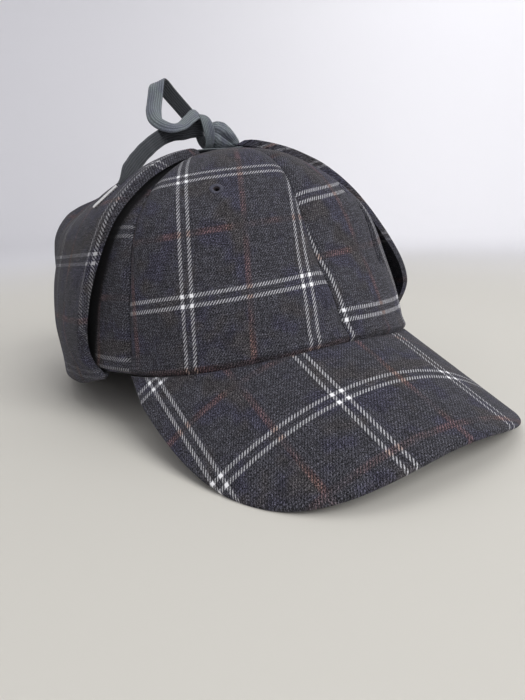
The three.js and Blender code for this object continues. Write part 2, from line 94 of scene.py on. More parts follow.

# Panels: the two seams of each, the angle of its middle thread, the height over the rim's front where
# a pair of white threads crosses it, and how the cloth lies: how far its threads lean and up to what
# height, how far they slant low down and high up, stretch across and up, and sit to one side.
# The side and back panels lie plainly, and their white threads are dimmed as painted shade
PLAIN_LAY = {
    "lean": 0, "leans_to": 120, "slant": (0, 0), "stretch": (1, 1), "aside": 0,
    "dimmed_in_shade": True, "pleats": False,
}
PANELS = (
    {"node": "crown_panel_front_right", "from": -SIDE_SEAM, "to": FRONT_SEAM, "grain": -25.2, "white": 25.1,
     "lean": 0.0635, "leans_to": 120, "slant": (0.085, 0.095), "stretch": (1.107, 0.99), "aside": 2.45,
     "dimmed_in_shade": False, "pleats": False},
    {"node": "crown_panel_front_left", "from": FRONT_SEAM, "to": SIDE_SEAM, "grain": 17.4, "white": 10.5,
     "lean": 0.146, "leans_to": 48, "slant": (-0.03, 0.18), "stretch": (1.0, 0.94), "aside": 3.7,
     "dimmed_in_shade": False, "pleats": True},
    {"node": "crown_panel_side_right", "from": -BACK_SEAM, "to": -SIDE_SEAM,
     "grain": -106, "white": -3.5, **PLAIN_LAY},
    {"node": "crown_panel_side_left", "from": SIDE_SEAM, "to": BACK_SEAM,
     "grain": 92, "white": 20, **PLAIN_LAY},
    {"node": "crown_panel_back_right", "from": -REAR_SEAM, "to": -BACK_SEAM,
     "grain": -151, "white": 14, **PLAIN_LAY},
    {"node": "crown_panel_back_left", "from": BACK_SEAM, "to": REAR_SEAM,
     "grain": 151, "white": 26, **PLAIN_LAY},
)
# Pinched pleats of the left front panel: how far off its side seam at their lower and upper ends, and
# how deep, in millimetres
PLEATS = ((43.0, 30.0, 2.0), (38.5, 26.5, 1.6))
PLEAT_HEIGHTS = (0.34, 0.66)
PLEAT_WIDTH = 1.15 * MM
# Share by which the pleats' grooves are darkened, as painted shade
PLEAT_SHADE = 0.75
# Slight lumps of the panels: how high, how wide, and how far from a seam they are whole
LUMP_HEIGHT = 0.35 * MM
LUMP_WIDTH = 26 * MM
LUMP_CLEAR = 12 * MM
EYELETS = (
    {"panel": "crown_panel_front_right", "angle": -33, "height": 0.73},
    {"panel": "crown_panel_front_left", "angle": 33, "height": 0.73},
)

# Flap band: its way round from the front, its top, and how far its inner face stands off the crown
FLAP_AROUND = (74, 96, 112, 128, 145, 180, 215, 232, 248, 270, 296)
FLAP_TOP = (0.980, 0.975, 0.830, 0.685, 0.660, 0.620, 0.650, 0.740, 0.900, 0.985, 0.994)
FLAP_LOW = (5.2, 3.2, 4.1, 2.3, 2.6, 2.8, 2.8, 4.0, 7.0, 11.0, 14.0)
FLAP_SHOULDER = (3.8, 0.8, 0.9, 8.6, 5.0, 3.4, 3.4, 3.0, 2.4, 2.4, 2.6)
FLAP_HIGH = (-0.6, 0.2, 0.2, 2.7, 2.9, 3.4, 3.0, 2.4, 2.4, 3.6, 4.6)
STAND_OFF_HEIGHTS = (0, 0.22, 0.68, 0.95)
FLAP_FRONT_HEIGHTS = (-0.07, -0.03, 0.00, 0.03, 0.08, 0.18, 0.34, 0.56, 0.80, 1.00)
FLAP_FRONT_RIGHT = (72, 73, 74.5, 76.5, 78, 76.5, 74.5, 69.5, 63, 60)
FLAP_FRONT_LEFT = (66, 66, 66, 66, 65.5, 65, 64, 63, 62, 60)
FLAP_MIDDLE_HEIGHT = 0.34
# Heights over the rim's front across which painted shade on the band's white threads fades out, from full
# below the lower to none above the higher
FLAP_WHITES_SHADE = (10 * MM, 60 * MM)
# How far from its right front edge a pair of white threads goes up the band, at heights over the rim
FLAP_WHITE_HEIGHTS = (-0.002, 0.012, 0.043, 0.075)
FLAP_WHITE_OFF = (-8.0, 0.5, 4.5, 7.0)
# Share by which the band's cloth is eased in along its length
FLAP_EASE = 1.071
FLAP_SEAT = 0.7
# The fold under the rim: each face's place out from the crown and up from its edge
FOLD_INNER_OUT = (-1.8, -0.9, -0.2, 0.4, FLAP_SEAT, FLAP_SEAT, FLAP_SEAT)
FOLD_INNER_UP = (-0.3, -0.4, -0.4, -0.4, -0.1, 0.6, 1.6)
FOLD_OUTER_OUT = (-1.8, -0.9, 0.6, 1.8, 3.4, 4.7, 4.9)
FOLD_OUTER_UP = (-3.2, -6.0, -6.8, -7.0, -6.7, -4.8, -1.6)

# Tie: routes in the cap's frame, in millimetres as they were set out. Beside each, the direction
# across the tape at shares of the route, along the picture's right, its up and towards the camera
TIE_BASE = (
    (-21.0, -6.2, 93.2), (-14.0, -5.2, 94.6), (-7.0, -4.4, 95.6),
    (0.0, -3.6, 96.2), (7.0, -3.6, 96.8), (13.0, -3.8, 97.6),
)
TIE_BASE_ACROSS = ((0, (0, -0.25, 1)), (1, (0, -0.25, 1)))
TIE_LOOP = (
    (-8.0, -1.0, 113.0), (-12.0, -3.0, 114.0), (-17.0, -4.5, 111.0), (-22.5, -5.5, 107.0),
    (-28.5, -5.0, 105.5), (-32.5, -3.0, 107.0), (-34.5, -0.5, 110.0), (-34.0, 2.0, 115.0),
    (-32.5, 3.5, 119.5), (-31.0, 4.5, 124.0), (-29.5, 5.5, 128.5), (-27.0, 8.0, 131.5),
    (-23.5, 10.5, 131.0), (-20.0, 11.0, 127.5), (-16.5, 10.5, 123.5), (-11.5, 7.5, 116.0),
)
TIE_LOOP_ACROSS = (
    (0, (-0.2, 0.5, -0.8)), (0.07, (-0.3, 0.8, -0.5)), (0.16, (-0.45, 0.7, -0.5)),
    (0.27, (0, 0.75, -0.66)), (0.38, (0.7, 0.45, -0.55)), (0.46, (0.97, 0, -0.25)),
    (0.54, (1, 0, 0)), (0.64, (1, 0.15, 0)), (0.70, (0.93, 0.35, 0.1)),
    (0.77, (0.75, 0.55, 0.35)), (0.86, (0.68, 0.58, 0.45)), (1, (0.68, 0.58, 0.45)),
)
TIE_LOOP_CUP = ((0, 0), (0.2, -0.6), (0.34, -2.6), (0.42, -2.6), (0.52, -0.5), (0.6, 0), (1, 0))
TIE_TAIL = (
    (-8.5, -1.5, 107.0), (-14.5, -0.5, 106.5), (-19.0, 0.5, 105.5), (-24.0, 0.5, 105.0),
    (-29.0, 0.0, 103.5), (-32.5, -2.0, 102.0), (-36.0, -4.0, 100.0), (-40.0, -6.0, 97.5),
    (-43.5, -8.5, 95.0), (-47.0, -10.5, 92.5), (-50.5, -13.0, 89.5), (-53.5, -15.0, 87.0),
    (-56.5, -17.5, 84.0), (-62.0, -21.5, 79.0), (-66.0, -24.0, 75.5),
)
TIE_TAIL_ACROSS = (
    (0, (0.15, -0.7, -0.7)), (0.3, (0.3, -0.7, -0.7)), (0.6, (0.5, -0.6, -0.75)), (1, (0.6, -0.5, -0.7)),
)
AGLET = ((-66.9, -23.7, 74.7), (-76.8, -16.5, 66.1))
# The aglet's sections: shares of its length and of its radius
AGLET_SECTIONS = (
    (0, 0.9), (0.02, 1), (0.06, 1), (0.11, 1), (0.14, 0.9), (0.17, 0.86), (0.2, 0.9),
    (0.23, 1), (0.3, 1), (0.85, 0.97), (0.93, 0.92), (0.975, 0.75), (1, 0.45),
)
KNOT_WRAP = {
    "place": (-8.0, -2.4, 105.4), "depth": 12.5, "height": 17.6, "lean": 1.2, "width": 5.6, "swing": 0.7,
}
KNOT_AXIS = ((-5.0, -2.8, 104.6), (12.5, -3.7, 99.6))
KNOT_STATIONS = (0, 0.15, 0.35, 0.6, 0.8, 0.93, 1)
KNOT_DEPTHS = (4.6, 6.2, 6.4, 5.4, 3.8, 2.4, 0.8)
KNOT_HEIGHTS = (5.6, 7.0, 6.8, 5.4, 3.9, 2.4, 0.8)

# Lights: the property that holds each one's power, its size, where it stands and what it shines on
CAP_MIDDLE = (0, 0, 0.06)
LIGHTS = (
    {"name": "key", "power": "key_power", "size": 1.0, "place": (0.35, -1.15, 1.05), "target": CAP_MIDDLE},
    {"name": "overhead", "power": "top_power", "size": 1.1, "place": (0.15, 0.1, 1.3),
     "target": CAP_MIDDLE},
    {"name": "backdrop", "power": "wall_power", "size": 0.8, "place": (1.0, 0.5, 1.1),
     "target": (2.0, 1.5, 0.6)},
)

# Camera in the cap's frame, with the axes of its picture
CAMERA_PLACE = (-144.28, -260.75, 42.78)
CAMERA_RIGHT = (0.83523, -0.54461, -0.07611)
CAMERA_UP = (0.17321, 0.12920, 0.97637)
CAMERA_SENSOR = 36
CAMERA_LENS = 34.44


def measure(name, description, millimetres):
    """A length among the sizes."""
    return FloatProperty(name=name, description=description, default=millimetres * MM, unit="LENGTH")


def tint(name, description, value):
    """A colour of the finish."""
    return FloatVectorProperty(
        name=name, description=description, default=value, subtype="COLOR", min=0, max=1)


class CapSizes(bpy.types.PropertyGroup):
    """Driving sizes of the cap."""

    rim_half_width: measure("Rim Half Width", "From the middle to the side of the rim", 89.5)
    rim_half_length: measure("Rim Half Length", "From the middle to the front of the rim", 103)
    rim_squareness: FloatProperty(
        name="Rim Squareness", description="2 is an ellipse, more is squarer", default=2.15)
    crown_height: measure("Crown Height", "From the rim's front to the top of the crown", 95)
    crown_wall: measure("Crown Wall", "Thickness of the crown's cloth", 2)
    rim_drop: measure("Rim Drop", "How far the rim drops to the back", 6)
    seam_gap: measure("Seam Gap", "Gap between neighbouring panels", 0.3)
    seam_dip: measure("Seam Dip", "How far the cloth sinks at a seam", 1.0)
    seam_reach: measure("Seam Reach", "How far from a seam the cloth sinks", 3.4)
    eyelet_radius: measure("Eyelet Radius", "Radius of an eyelet's hole", 1.4)
    visor_length: measure("Visor Length", "Down the visor's middle", 63)
    visor_bend: measure("Visor Bend Radius", "Radius that the visor is bent to", 110)
    visor_slope: FloatProperty(
        name="Visor Slope", description="How far the visor points down",
        default=math.radians(27), subtype="ANGLE")
    visor_half_arc: measure("Visor Half Arc", "From the visor's middle to its side, over the bend", 92.5)
    visor_back_sweep: measure("Visor Back Sweep", "How far its sides sweep back past the rim's front", 47)
    visor_squareness: FloatProperty(
        name="Visor Squareness", description="2 is an ellipse, more is squarer", default=2.65)
    visor_thickness: measure("Visor Thickness", "Board and both cloths", 3.4)
    visor_tuck: measure("Visor Tuck", "How far the visor goes in under the crown", 1.7)
    flap_thickness: measure("Flap Thickness", "Padding and both cloths", 4.2)
    tape_width: measure("Tape Width", "Width of the tie", 8)
    tape_thickness: measure("Tape Thickness", "Thickness of the tie", 1.4)
    tape_ribs: IntProperty(name="Tape Ribs", description="Woven ribs across the tie", default=7)
    aglet_radius: measure("Aglet Radius", "Radius of the tie's metal end", 0.75)
    rest_pitch: FloatProperty(
        name="Rest Pitch", description="How far the resting cap leans back",
        default=math.radians(-5.1), subtype="ANGLE")
    rest_shift: FloatVectorProperty(
        name="Rest Shift", description="From the rim's front to the middle of the footprint",
        default=(-4 * MM, 26.7 * MM, 29 * MM), subtype="TRANSLATION", unit="LENGTH")


class CapFinish(bpy.types.PropertyGroup):
    """Colours and weave of the cap."""

    charcoal: tint("Charcoal", "Ground of the cloth", (0.0405, 0.040, 0.0485))
    slate: tint("Slate", "Bluish patches of the ground", (0.0375, 0.0365, 0.0535))
    peat: tint("Peat", "Brownish patches of the ground", (0.0440, 0.0405, 0.0435))
    chalk: tint("Chalk", "White threads of the check", (0.62, 0.62, 0.65))
    rust: tint("Rust", "Single threads between the white pairs", (0.18, 0.080, 0.058))
    check_repeat: measure("Check Repeat", "From one white pair to the next", 58)
    pair_spacing: measure("Pair Spacing", "Between the two white lines of a pair", 4.4)
    line_width: measure("Line Width", "Width of one white line", 1.75)
    twill_pitch: measure("Twill Pitch", "Between two ridges of the twill", 1.1)
    twill_angle: FloatProperty(
        name="Twill Angle", description="Lean of the twill's ridges",
        default=math.radians(52), subtype="ANGLE")
    # Painted shade: share by which the white threads are dimmed on the shaded copy of the cloth, which the
    # side and back panels and the flap band take
    whites_shading: FloatProperty(
        name="Shaded_Whites", description="How far the white threads have faded at the sides", default=0.45)
    tape: tint("Tape", "Colour of the tie", (0.175, 0.202, 0.215))
    # Painted shade: the colour of the tie's shaded side, darker than the tape
    tape_shaded_side: tint("Tape Back", "Colour of the tie's other side", (0.045, 0.050, 0.058))
    thread: tint("Thread", "Colour of the eyelets' stitches", (0.085, 0.085, 0.115))
    metal: tint("Metal", "Colour of the aglet", (0.99, 0.99, 0.98))


class StageLook(bpy.types.PropertyGroup):
    """Floor and light."""

    floor: tint("Floor", "Colour of the floor", (0.65, 0.63, 0.575))
    wall: tint("Wall", "Colour of the backdrop", (0.80, 0.795, 0.82))
    key_power: FloatProperty(
        name="Key Power", description="Large light in front", default=14, unit="POWER")
    top_power: FloatProperty(
        name="Top Power", description="Large light overhead", default=4, unit="POWER")
    wall_power: FloatProperty(
        name="Wall Power", description="Light on the backdrop's right", default=7, unit="POWER")
    sky: FloatProperty(name="Sky", description="Strength of the even light all round", default=0.47)


class Socket:
    """A node's output that takes part in Python expressions; without an output, a tree to make nodes in."""

    def __init__(self, tree, output=None):
        self.tree = tree
        self.output = output

    def make(self, kind, settings=(), sockets=(), output=0):
        """Adds a node: its settings first, then the values or links of its sockets."""
        node = self.tree.nodes.new(kind)
        for name, value in dict(settings).items():
            setattr(node, name, value)
        for name, value in dict(sockets).items():
            if isinstance(value, Socket):
                self.tree.links.new(value.output, node.inputs[name])
            else:
                node.inputs[name].default_value = value
        return Socket(self.tree, node.outputs[output])

    def out(self, name):
        """Another output of the same node."""
        return Socket(self.tree, self.output.node.outputs[name])

    def math(self, operation, *others):
        sockets = dict(enumerate((self, *others)))
        return self.make("ShaderNodeMath", {"operation": operation}, sockets)

    def __add__(self, other):
        return self.math("ADD", other)

    def __sub__(self, other):
        return self.math("SUBTRACT", other)

    def __mul__(self, other):
        return self.math("MULTIPLY", other)

    def __truediv__(self, other):
        return self.math("DIVIDE", other)

    def __pow__(self, other):
        return self.math("POWER", other)

    def __abs__(self):
        return self.math("ABSOLUTE")

    def __radd__(self, other):
        return self + other

    def __rmul__(self, other):
        return self * other

    def __rsub__(self, other):
        return self * -1 + other

    def __rtruediv__(self, other):
        return self**-1 * other

    def fade(self, start, end, low=0.0, high=1.0):
        """Goes smoothly from low to high as the value goes from start to end."""
        settings = {"interpolation_type": "SMOOTHSTEP"}
        sockets = {"Value": self, "From Min": start, "From Max": end, "To Min": low, "To Max": high}
        return self.make("ShaderNodeMapRange", settings, sockets)

    def blend(self, first, second):
        """Colour between two others, by this value."""
        settings = {"data_type": "RGBA"}
        return self.make("ShaderNodeMix", settings, {0: self, 6: first, 7: second}, output=2)


def colour(value):
    return (*value, 1.0)


# Shapes of the cap, as functions of its driving sizes


def smooth_through(places, values, at):
    """A smooth curve through a few values that never swings past them."""
    places = np.asarray(places, float)
    values = np.asarray(values, float)
    rise = np.diff(values) / np.diff(places)
    before = rise[:-1]
    after = rise[1:]
    turns = before * after <= 0
    total = np.where(turns, 1, before + after)
    middle = np.where(turns, 0, 2 * before * after / total)
    slope = np.concatenate([rise[:1], middle, rise[-1:]])
    at = np.clip(at, places[0], places[-1])
    i = np.clip(np.searchsorted(places, at) - 1, 0, len(rise) - 1)
    span = places[i + 1] - places[i]
    s = (at - places[i]) / span
    step = s * s * (3 - 2 * s)
    bends = slope[i] * s * (1 - s) ** 2 - slope[i + 1] * s * s * (1 - s)
    return values[i] + (values[i + 1] - values[i]) * step + span * bends


def smoothstep(at, low, high):
    s = np.clip((at - low) / (high - low), 0, 1)
    return s * s * (3 - 2 * s)


def unit(vectors):
    return vectors / np.linalg.norm(vectors, axis=-1, keepdims=True)


def soft_noise(points, scale, seed):
    """Smooth noise from -1 to 1 at each point of an array."""
    flat = np.asarray(points, float).reshape(-1, 3) / scale + seed
    values = [noise.noise(place) for place in flat.tolist()]
    return np.array(values).reshape(np.shape(points)[:-1])


class CapForm:
    """The cap's surfaces, in its own frame."""

    def __init__(self, sizes):
        self.sizes = sizes
        self.lean = np.array(Matrix.Rotation(sizes.rest_pitch, 3, "X"))
        self.shift = np.array(sizes.rest_shift)

    def settled(self, points):
        """Leans points back into the resting pose; what would sink into the surface lies on it."""
        turned = np.asarray(points, float) @ self.lean.T + self.shift
        turned[..., 2] = np.maximum(turned[..., 2], 0)
        return turned

    def rim_plan(self, angle):
        power = 2 / self.sizes.rim_squareness
        sine = np.sin(np.radians(angle))
        cosine = np.cos(np.radians(angle))
        x = self.sizes.rim_half_width * np.sign(sine) * np.abs(sine) ** power
        y = -self.sizes.rim_half_length * np.sign(cosine) * np.abs(cosine) ** power
        return x, y

    def visor_height(self, x, y):
        bend = self.sizes.visor_bend
        ahead = -y - self.sizes.rim_half_length
        return np.sqrt(bend**2 - x**2) - bend - ahead * math.tan(self.sizes.visor_slope)

    def rim_height(self, angle):
        """The rim follows the visor in front and runs nearly level round the sides and back."""
        turned = np.abs((np.asarray(angle, float) + 180) % 360 - 180)
        in_front = self.visor_height(*self.rim_plan(np.minimum(turned, SIDE_SEAM)))
        return in_front - self.sizes.rim_drop * smoothstep(turned, SIDE_SEAM, BACK_SEAM)

    def reach(self, seam, height):
        squares = np.square(PROFILE_REACHES[seam])
        return np.sqrt(np.maximum(smooth_through(PROFILE_HEIGHTS, squares, height), 0))

    def crown(self, angle, height):
        """Outer face of the crown at an angle and a share of its height."""
        angle, height = np.broadcast_arrays(np.asarray(angle, float), np.asarray(height, float))
        turned = np.abs((angle + 180) % 360 - 180)
        reach = np.zeros(angle.shape)
        for seam in range(len(SEAM_ANGLES) - 1):
            low, high = SEAM_ANGLES[seam], SEAM_ANGLES[seam + 1]
            blend = smoothstep(turned, low, high)
            here = (turned >= low) & (turned <= high)
            mixed = self.reach(seam, height) * (1 - blend) + self.reach(seam + 1, height) * blend
            reach = np.where(here, mixed, reach)
        x, y = self.rim_plan(angle)
        z = self.rim_height(angle) * (1 - height) + self.sizes.crown_height * height
        return np.stack([x * reach, y * reach, z], axis=-1)

    def crown_around(self, angle, height):
        turn = 0.25
        return unit(self.crown(angle + turn, height) - self.crown(angle - turn, height))

    def crown_normal(self, angle, height):
        step = 0.002
        low = self.crown(angle, np.maximum(height - step, 0))
        high = self.crown(angle, np.minimum(height + step, NEAR_TOP))
        return unit(np.cross(self.crown_around(angle, height), high - low))


def level(vectors):
    """Vectors turned level."""
    flat = vectors.copy()
    flat[..., 2] = 0
    return unit(flat)


# Meshes


def grid_faces(columns, rows, start=0, wrap_rows=False):
    """Quads of a grid of points that are counted row by row in each column."""
    faces = []
    last = rows if wrap_rows else rows - 1
    for column in range(columns - 1):
        for row in range(last):
            a = start + column * rows + row
            b = start + column * rows + (row + 1) % rows
            faces.append((a, b, b + rows, a + rows))
    return faces


def outward(points, faces):
    """The same faces, turned to point out of the closed shape."""
    points = np.asarray(points)
    volume = 0.0
    for face in faces:
        for b, c in zip(face[1:-1], face[2:]):
            volume += np.dot(points[face[0]], np.cross(points[b], points[c]))
    return [tuple(reversed(face)) for face in faces] if volume < 0 else faces


def new_piece(name, points, faces, material, uv=None, uv_name="Cloth", crease=40):
    """A mesh piece in the resting pose, smooth but for its sharp edges, with the cloth's metres as UV."""
    mesh = bpy.data.meshes.new(name)
    mesh.from_pydata(np.asarray(points).tolist(), [], outward(points, faces))
    mesh.validate()
    if uv is not None:
        corners = np.zeros(len(mesh.loops), np.int32)
        mesh.loops.foreach_get("vertex_index", corners)
        layer = mesh.uv_layers.new(name=uv_name)
        layer.data.foreach_set("uv", np.asarray(uv, np.float32)[corners].ravel())
    mesh.shade_smooth()
    mesh.set_sharp_from_angle(angle=math.radians(crease))
    mesh.materials.append(material)
    piece = bpy.data.objects.new(name, mesh)
    bpy.context.scene.collection.objects.link(piece)
    return piece


def shell(outer, inner, uv):
    """Points, faces and UV of a closed wall between two grids of points."""
    columns, rows = outer.shape[:2]
    count = columns * rows
    points = np.concatenate([outer.reshape(-1, 3), inner.reshape(-1, 3)])
    faces = grid_faces(columns, rows)
    faces += [tuple(reversed(face)) for face in grid_faces(columns, rows, count)]
    ends = [[c * rows for c in range(columns)], [c * rows + rows - 1 for c in range(columns)][::-1]]
    sides = [list(range(rows))[::-1], [(columns - 1) * rows + r for r in range(rows)]]
    for border in ends + sides:
        for a, b in zip(border, border[1:]):
            faces.append((a, b, b + count, a + count))
    return points, faces, np.concatenate([uv.reshape(-1, 2)] * 2)


def capped_tube(rings, start, end):
    """Points and faces of a tube through rings of points, closed by a point at either end."""
    count = rings.shape[1]
    last = (len(rings) - 1) * count
    points = np.vstack([rings.reshape(-1, 3), start, end])
    faces = grid_faces(len(rings), count, wrap_rows=True)
    faces += [((i + 1) % count, i, len(points) - 2) for i in range(count)]
    faces += [(last + i, last + (i + 1) % count, len(points) - 1) for i in range(count)]
    return points, faces


def marked(piece, name, values):
    """Keeps a value for each point of a wall, the same on its two faces."""
    layer = piece.data.attributes.new(name, "FLOAT", "POINT")
    layer.data.foreach_set("value", np.tile(np.ravel(values), 2))
    return piece


def converted(piece):
    """Turns what a piece's modifiers make into its own plain mesh."""
    evaluated = piece.evaluated_get(bpy.context.evaluated_depsgraph_get())
    mesh = bpy.data.meshes.new_from_object(evaluated)
    piece.modifiers.clear()
    piece.data = mesh
    return piece


def placed(piece, slot, *nodes):
    """Hands a finished piece over to the frame."""
    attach(piece, BODY)
    if nodes:
        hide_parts(*nodes)
    return piece


# Materials


def new_material(name):
    material = bpy.data.materials.new(name)
    material.use_nodes = True
    return material, Socket(material.node_tree), material.node_tree.nodes["Principled BSDF"]


def join(material, socket, shader, name):
    material.node_tree.links.new(socket.output, shader.inputs[name])


def own_metres(tree, uv_name):
    """The two coordinates of a piece's UV map."""
    place = tree.make("ShaderNodeUVMap", {"uv_map": uv_name})
    across = tree.make("ShaderNodeSeparateXYZ", (), {0: place})
    return place, across, across.out("Y")


def grain(tree, place, size, detail, roughness=0.5):
    """Noise with lumps of one size."""
    sockets = {"Vector": place, "Scale": 1 / size, "Detail": detail, "Roughness": roughness}
    return tree.make("ShaderNodeTexNoise", {"noise_dimensions": "2D"}, sockets)


def toned(tree, base, tone):
    """A colour made darker or lighter by a factor."""
    return tree.make("ShaderNodeVectorMath", {"operation": "SCALE"}, {0: base, "Scale": tone})


def raised(material, tree, shader, strength, depth, rise):
    """Raises a surface by a bump."""
    bump = tree.make("ShaderNodeBump", (), {"Strength": strength, "Distance": depth, "Height": rise})
    join(material, bump, shader, "Normal")


def preset(shader, values):
    """Sets those of a shader's sockets that are the same all over."""
    for name, value in values.items():
        shader.inputs[name].default_value = value


def checked_cloth(finish, name, dimmed_in_shade):
    """Charcoal twill with a windowpane of white pairs, which may be dimmed as painted shade, and faint rust
    threads.
    """
    material, tree, shader = new_material(name)
    place, across, along = own_metres(tree, "Cloth")
    repeat = finish.check_repeat
    sine, cosine = math.sin(finish.twill_angle), math.cos(finish.twill_angle)
    ridge = across * sine - along * cosine
    down_ridge = across * cosine + along * sine
    wave = (ridge * (2 * math.pi / finish.twill_pitch)).math("SINE")
    dash = wave.fade(-0.2, 0.4)
    drawn_out = tree.make("ShaderNodeCombineXYZ", (), {"X": ridge, "Y": down_ridge * RIDGE_DRAW})
    warp = tree.make("ShaderNodeCombineXYZ", (), {"X": across, "Y": along * THREAD_DRAW})
    weft = tree.make("ShaderNodeCombineXYZ", (), {"X": across * THREAD_DRAW, "Y": along})
    fleck = grain(tree, drawn_out, FLECK, 1, 0.6)
    fine = grain(tree, place, FINE, 1, 0.6)
    slub = grain(tree, warp, SLUB, 1) * 0.5 + grain(tree, weft, SLUB, 1) * 0.5
    patches = grain(tree, place, SLATE_PATCH, 2)
    other_patches = grain(tree, place, PEAT_PATCH, 2, 0.6)

    def pair(axis):
        """Mask of the two white lines at the middle of each repeat."""
        waver = 0.5 * MM
        off = abs((axis / repeat).math("FRACT") - 0.5) * repeat
        edge = abs(off - finish.pair_spacing / 2) + (fine - 0.5) * waver
        return edge.fade(0.38 * finish.line_width, 0.6 * finish.line_width, 1, 0)

    def single(axis):
        """Mask of the rust thread between two repeats."""
        solid, gone = 0.7 * MM, 2.1 * MM
        off = abs((axis / repeat + 0.5).math("FRACT") - 0.5) * repeat
        return off.fade(solid, gone, 1, 0)

    upright, level_pair = pair(across), pair(along)
    crossing = upright * level_pair
    white = (upright.math("MAXIMUM", level_pair) * dash).math("MAXIMUM", crossing)
    rust_up, rust_level = single(across), single(along)
    rust = rust_up.math("MAXIMUM", rust_level) * patches.fade(0.35, 0.7, 0.04, 0.34)
    rust = rust * dash.fade(0, 1, 0.5, 1)
    ground = patches.fade(0.46, 0.66).blend(colour(finish.charcoal), colour(finish.slate))
    ground = other_patches.fade(0.52, 0.7).blend(ground, colour(finish.peat))
    ground = rust.blend(ground, colour(finish.rust))
    tone = fleck.fade(0.33, 0.67, 0.05, 2.1) * fine.fade(0.3, 0.7, 0.45, 1.55)
    tone = tone * wave.fade(-1, 1, 0.65, 1.35) * slub.fade(0.38, 0.62, 0.64, 1.34)
    ground = toned(tree, ground, tone)

    orange, bright, deep = (0.52, 0.27, 0.16, 1.0), (0.9, 0.9, 0.92, 1.0), (0.002, 0.002, 0.003, 1.0)
    warm = (rust_up * level_pair).math("MAXIMUM", rust_level * upright) * 0.6
    threads = warm.blend(colour(finish.chalk), orange)
    threads = crossing.blend(threads, bright)
    # Painted shade: an attribute dims the white threads low on the flap band, by up to the first share here
    deepest_whites_shade, most_shade = 0.65, 0.95
    worn = tree.make("ShaderNodeAttribute", {"attribute_name": WHITES_SHADE}, output="Fac")
    kept = (1 - dimmed_in_shade) * (1 - worn * deepest_whites_shade)
    broken = fine.fade(0.3, 0.66, 0.3, 1) * slub.fade(0.36, 0.6, 0.75, 1)
    strength = white * broken.math("MAXIMUM", crossing) * kept
    # Painted shade: an attribute darkens the cloth towards near-black in the gap under the flap's front
    # edges and in the pleats' grooves
    shade = tree.make("ShaderNodeAttribute", {"attribute_name": SHADE}, output="Fac")
    base = (shade * most_shade).blend(strength.blend(ground, threads), deep)
    join(material, base, shader, "Base Color")
    rise = wave * 0.15 + fleck * 0.4 + fine * 0.2 + white * 0.25
    raised(material, tree, shader, 0.35, 0.3 * MM, rise)
    join(material, fine.fade(0.2, 0.8, 0.86, 0.98), shader, "Roughness")
    preset(shader, {
        "Specular IOR Level": 0.25, "Sheen Weight": 0.05, "Sheen Roughness": 0.5,
        "Sheen Tint": (0.8, 0.8, 0.85, 1)})
    return material


def woven_tape(finish, sizes):
    """Ribbed flat tape, with one side darkened as painted shade."""
    material, tree, shader = new_material("woven_tape")
    place, across, along = own_metres(tree, "Tape")
    pick_pitch, lint, rubbed_patch = 0.9 * MM, 0.5 * MM, 9 * MM
    rib = (across * (2 * math.pi * sizes.tape_ribs / sizes.tape_width)).math("COSINE")
    pick = (along * (2 * math.pi / pick_pitch)).math("SINE") * rib
    fine = grain(tree, place, lint, 2)
    worn = grain(tree, place, rubbed_patch, 2)
    tone = rib.fade(-1, 1, 0.6, 1.1) * pick.fade(-1, 1, 0.88, 1.1) * fine.fade(0.25, 0.75, 0.75, 1.2)
    bluish = (0.135, 0.15, 0.185, 1.0)
    base = worn.fade(0.4, 0.7).blend(colour(finish.tape), bluish)
    # Painted shade: the side of the tape that lies past the shaded side's start in the UV map takes the
    # darker colour
    shaded = across.fade(1.5 * sizes.tape_width, 2 * sizes.tape_width)
    base = shaded.blend(base, colour(finish.tape_shaded_side))
    join(material, toned(tree, base, tone), shader, "Base Color")
    raised(material, tree, shader, 0.4, 0.25 * MM, rib * 0.5 + pick * 0.3 + fine * 0.4)
    join(material, fine.fade(0.2, 0.8, 0.7, 0.9), shader, "Roughness")
    preset(shader, {"Sheen Weight": 0.2, "Sheen Roughness": 0.4})
    return material


def stitch_thread(finish):
    """Bluish thread of the eyelets."""
    material, tree, shader = new_material("stitch_thread")
    place = tree.make("ShaderNodeTexCoord", output="Object")
    ply = grain(tree, place, 0.3 * MM, 2)
    base = toned(tree, colour(finish.thread)[:3], ply.fade(0.25, 0.75, 0.6, 1.3))
    join(material, base, shader, "Base Color")
    raised(material, tree, shader, 0.5, 0.1 * MM, ply)
    preset(shader, {"Roughness": 0.75})
    return material


def bright_metal(finish):
    """Plated metal with fine scratches."""
    material, tree, shader = new_material("bright_metal")
    place = tree.make("ShaderNodeTexCoord", output="Object")
    rubbed = tree.make("ShaderNodeTexNoise", (), {"Vector": place, "Scale": 900, "Detail": 3})
    dull = (0.9, 0.9, 0.9, 1.0)
    join(material, rubbed.fade(0.55, 0.75).blend(colour(finish.metal), dull), shader, "Base Color")
    join(material, rubbed.fade(0.3, 0.7, 0.2, 0.35), shader, "Roughness")
    preset(shader, {"Metallic": 0.75})
    return material


def pale_floor(stage):
    """Plain matt floor that turns into a paler wall."""
    material, tree, shader = new_material("pale_floor")
    place = tree.make("ShaderNodeTexCoord", output="Object")
    away = tree.make("ShaderNodeVectorMath", {"operation": "LENGTH"}, {0: place}, output="Value")
    join(material, away.fade(0.3, 1.0).blend(colour(stage.floor), colour(stage.wall)), shader, "Base Color")
    preset(shader, {"Roughness": 0.8})
    return material


# Tape


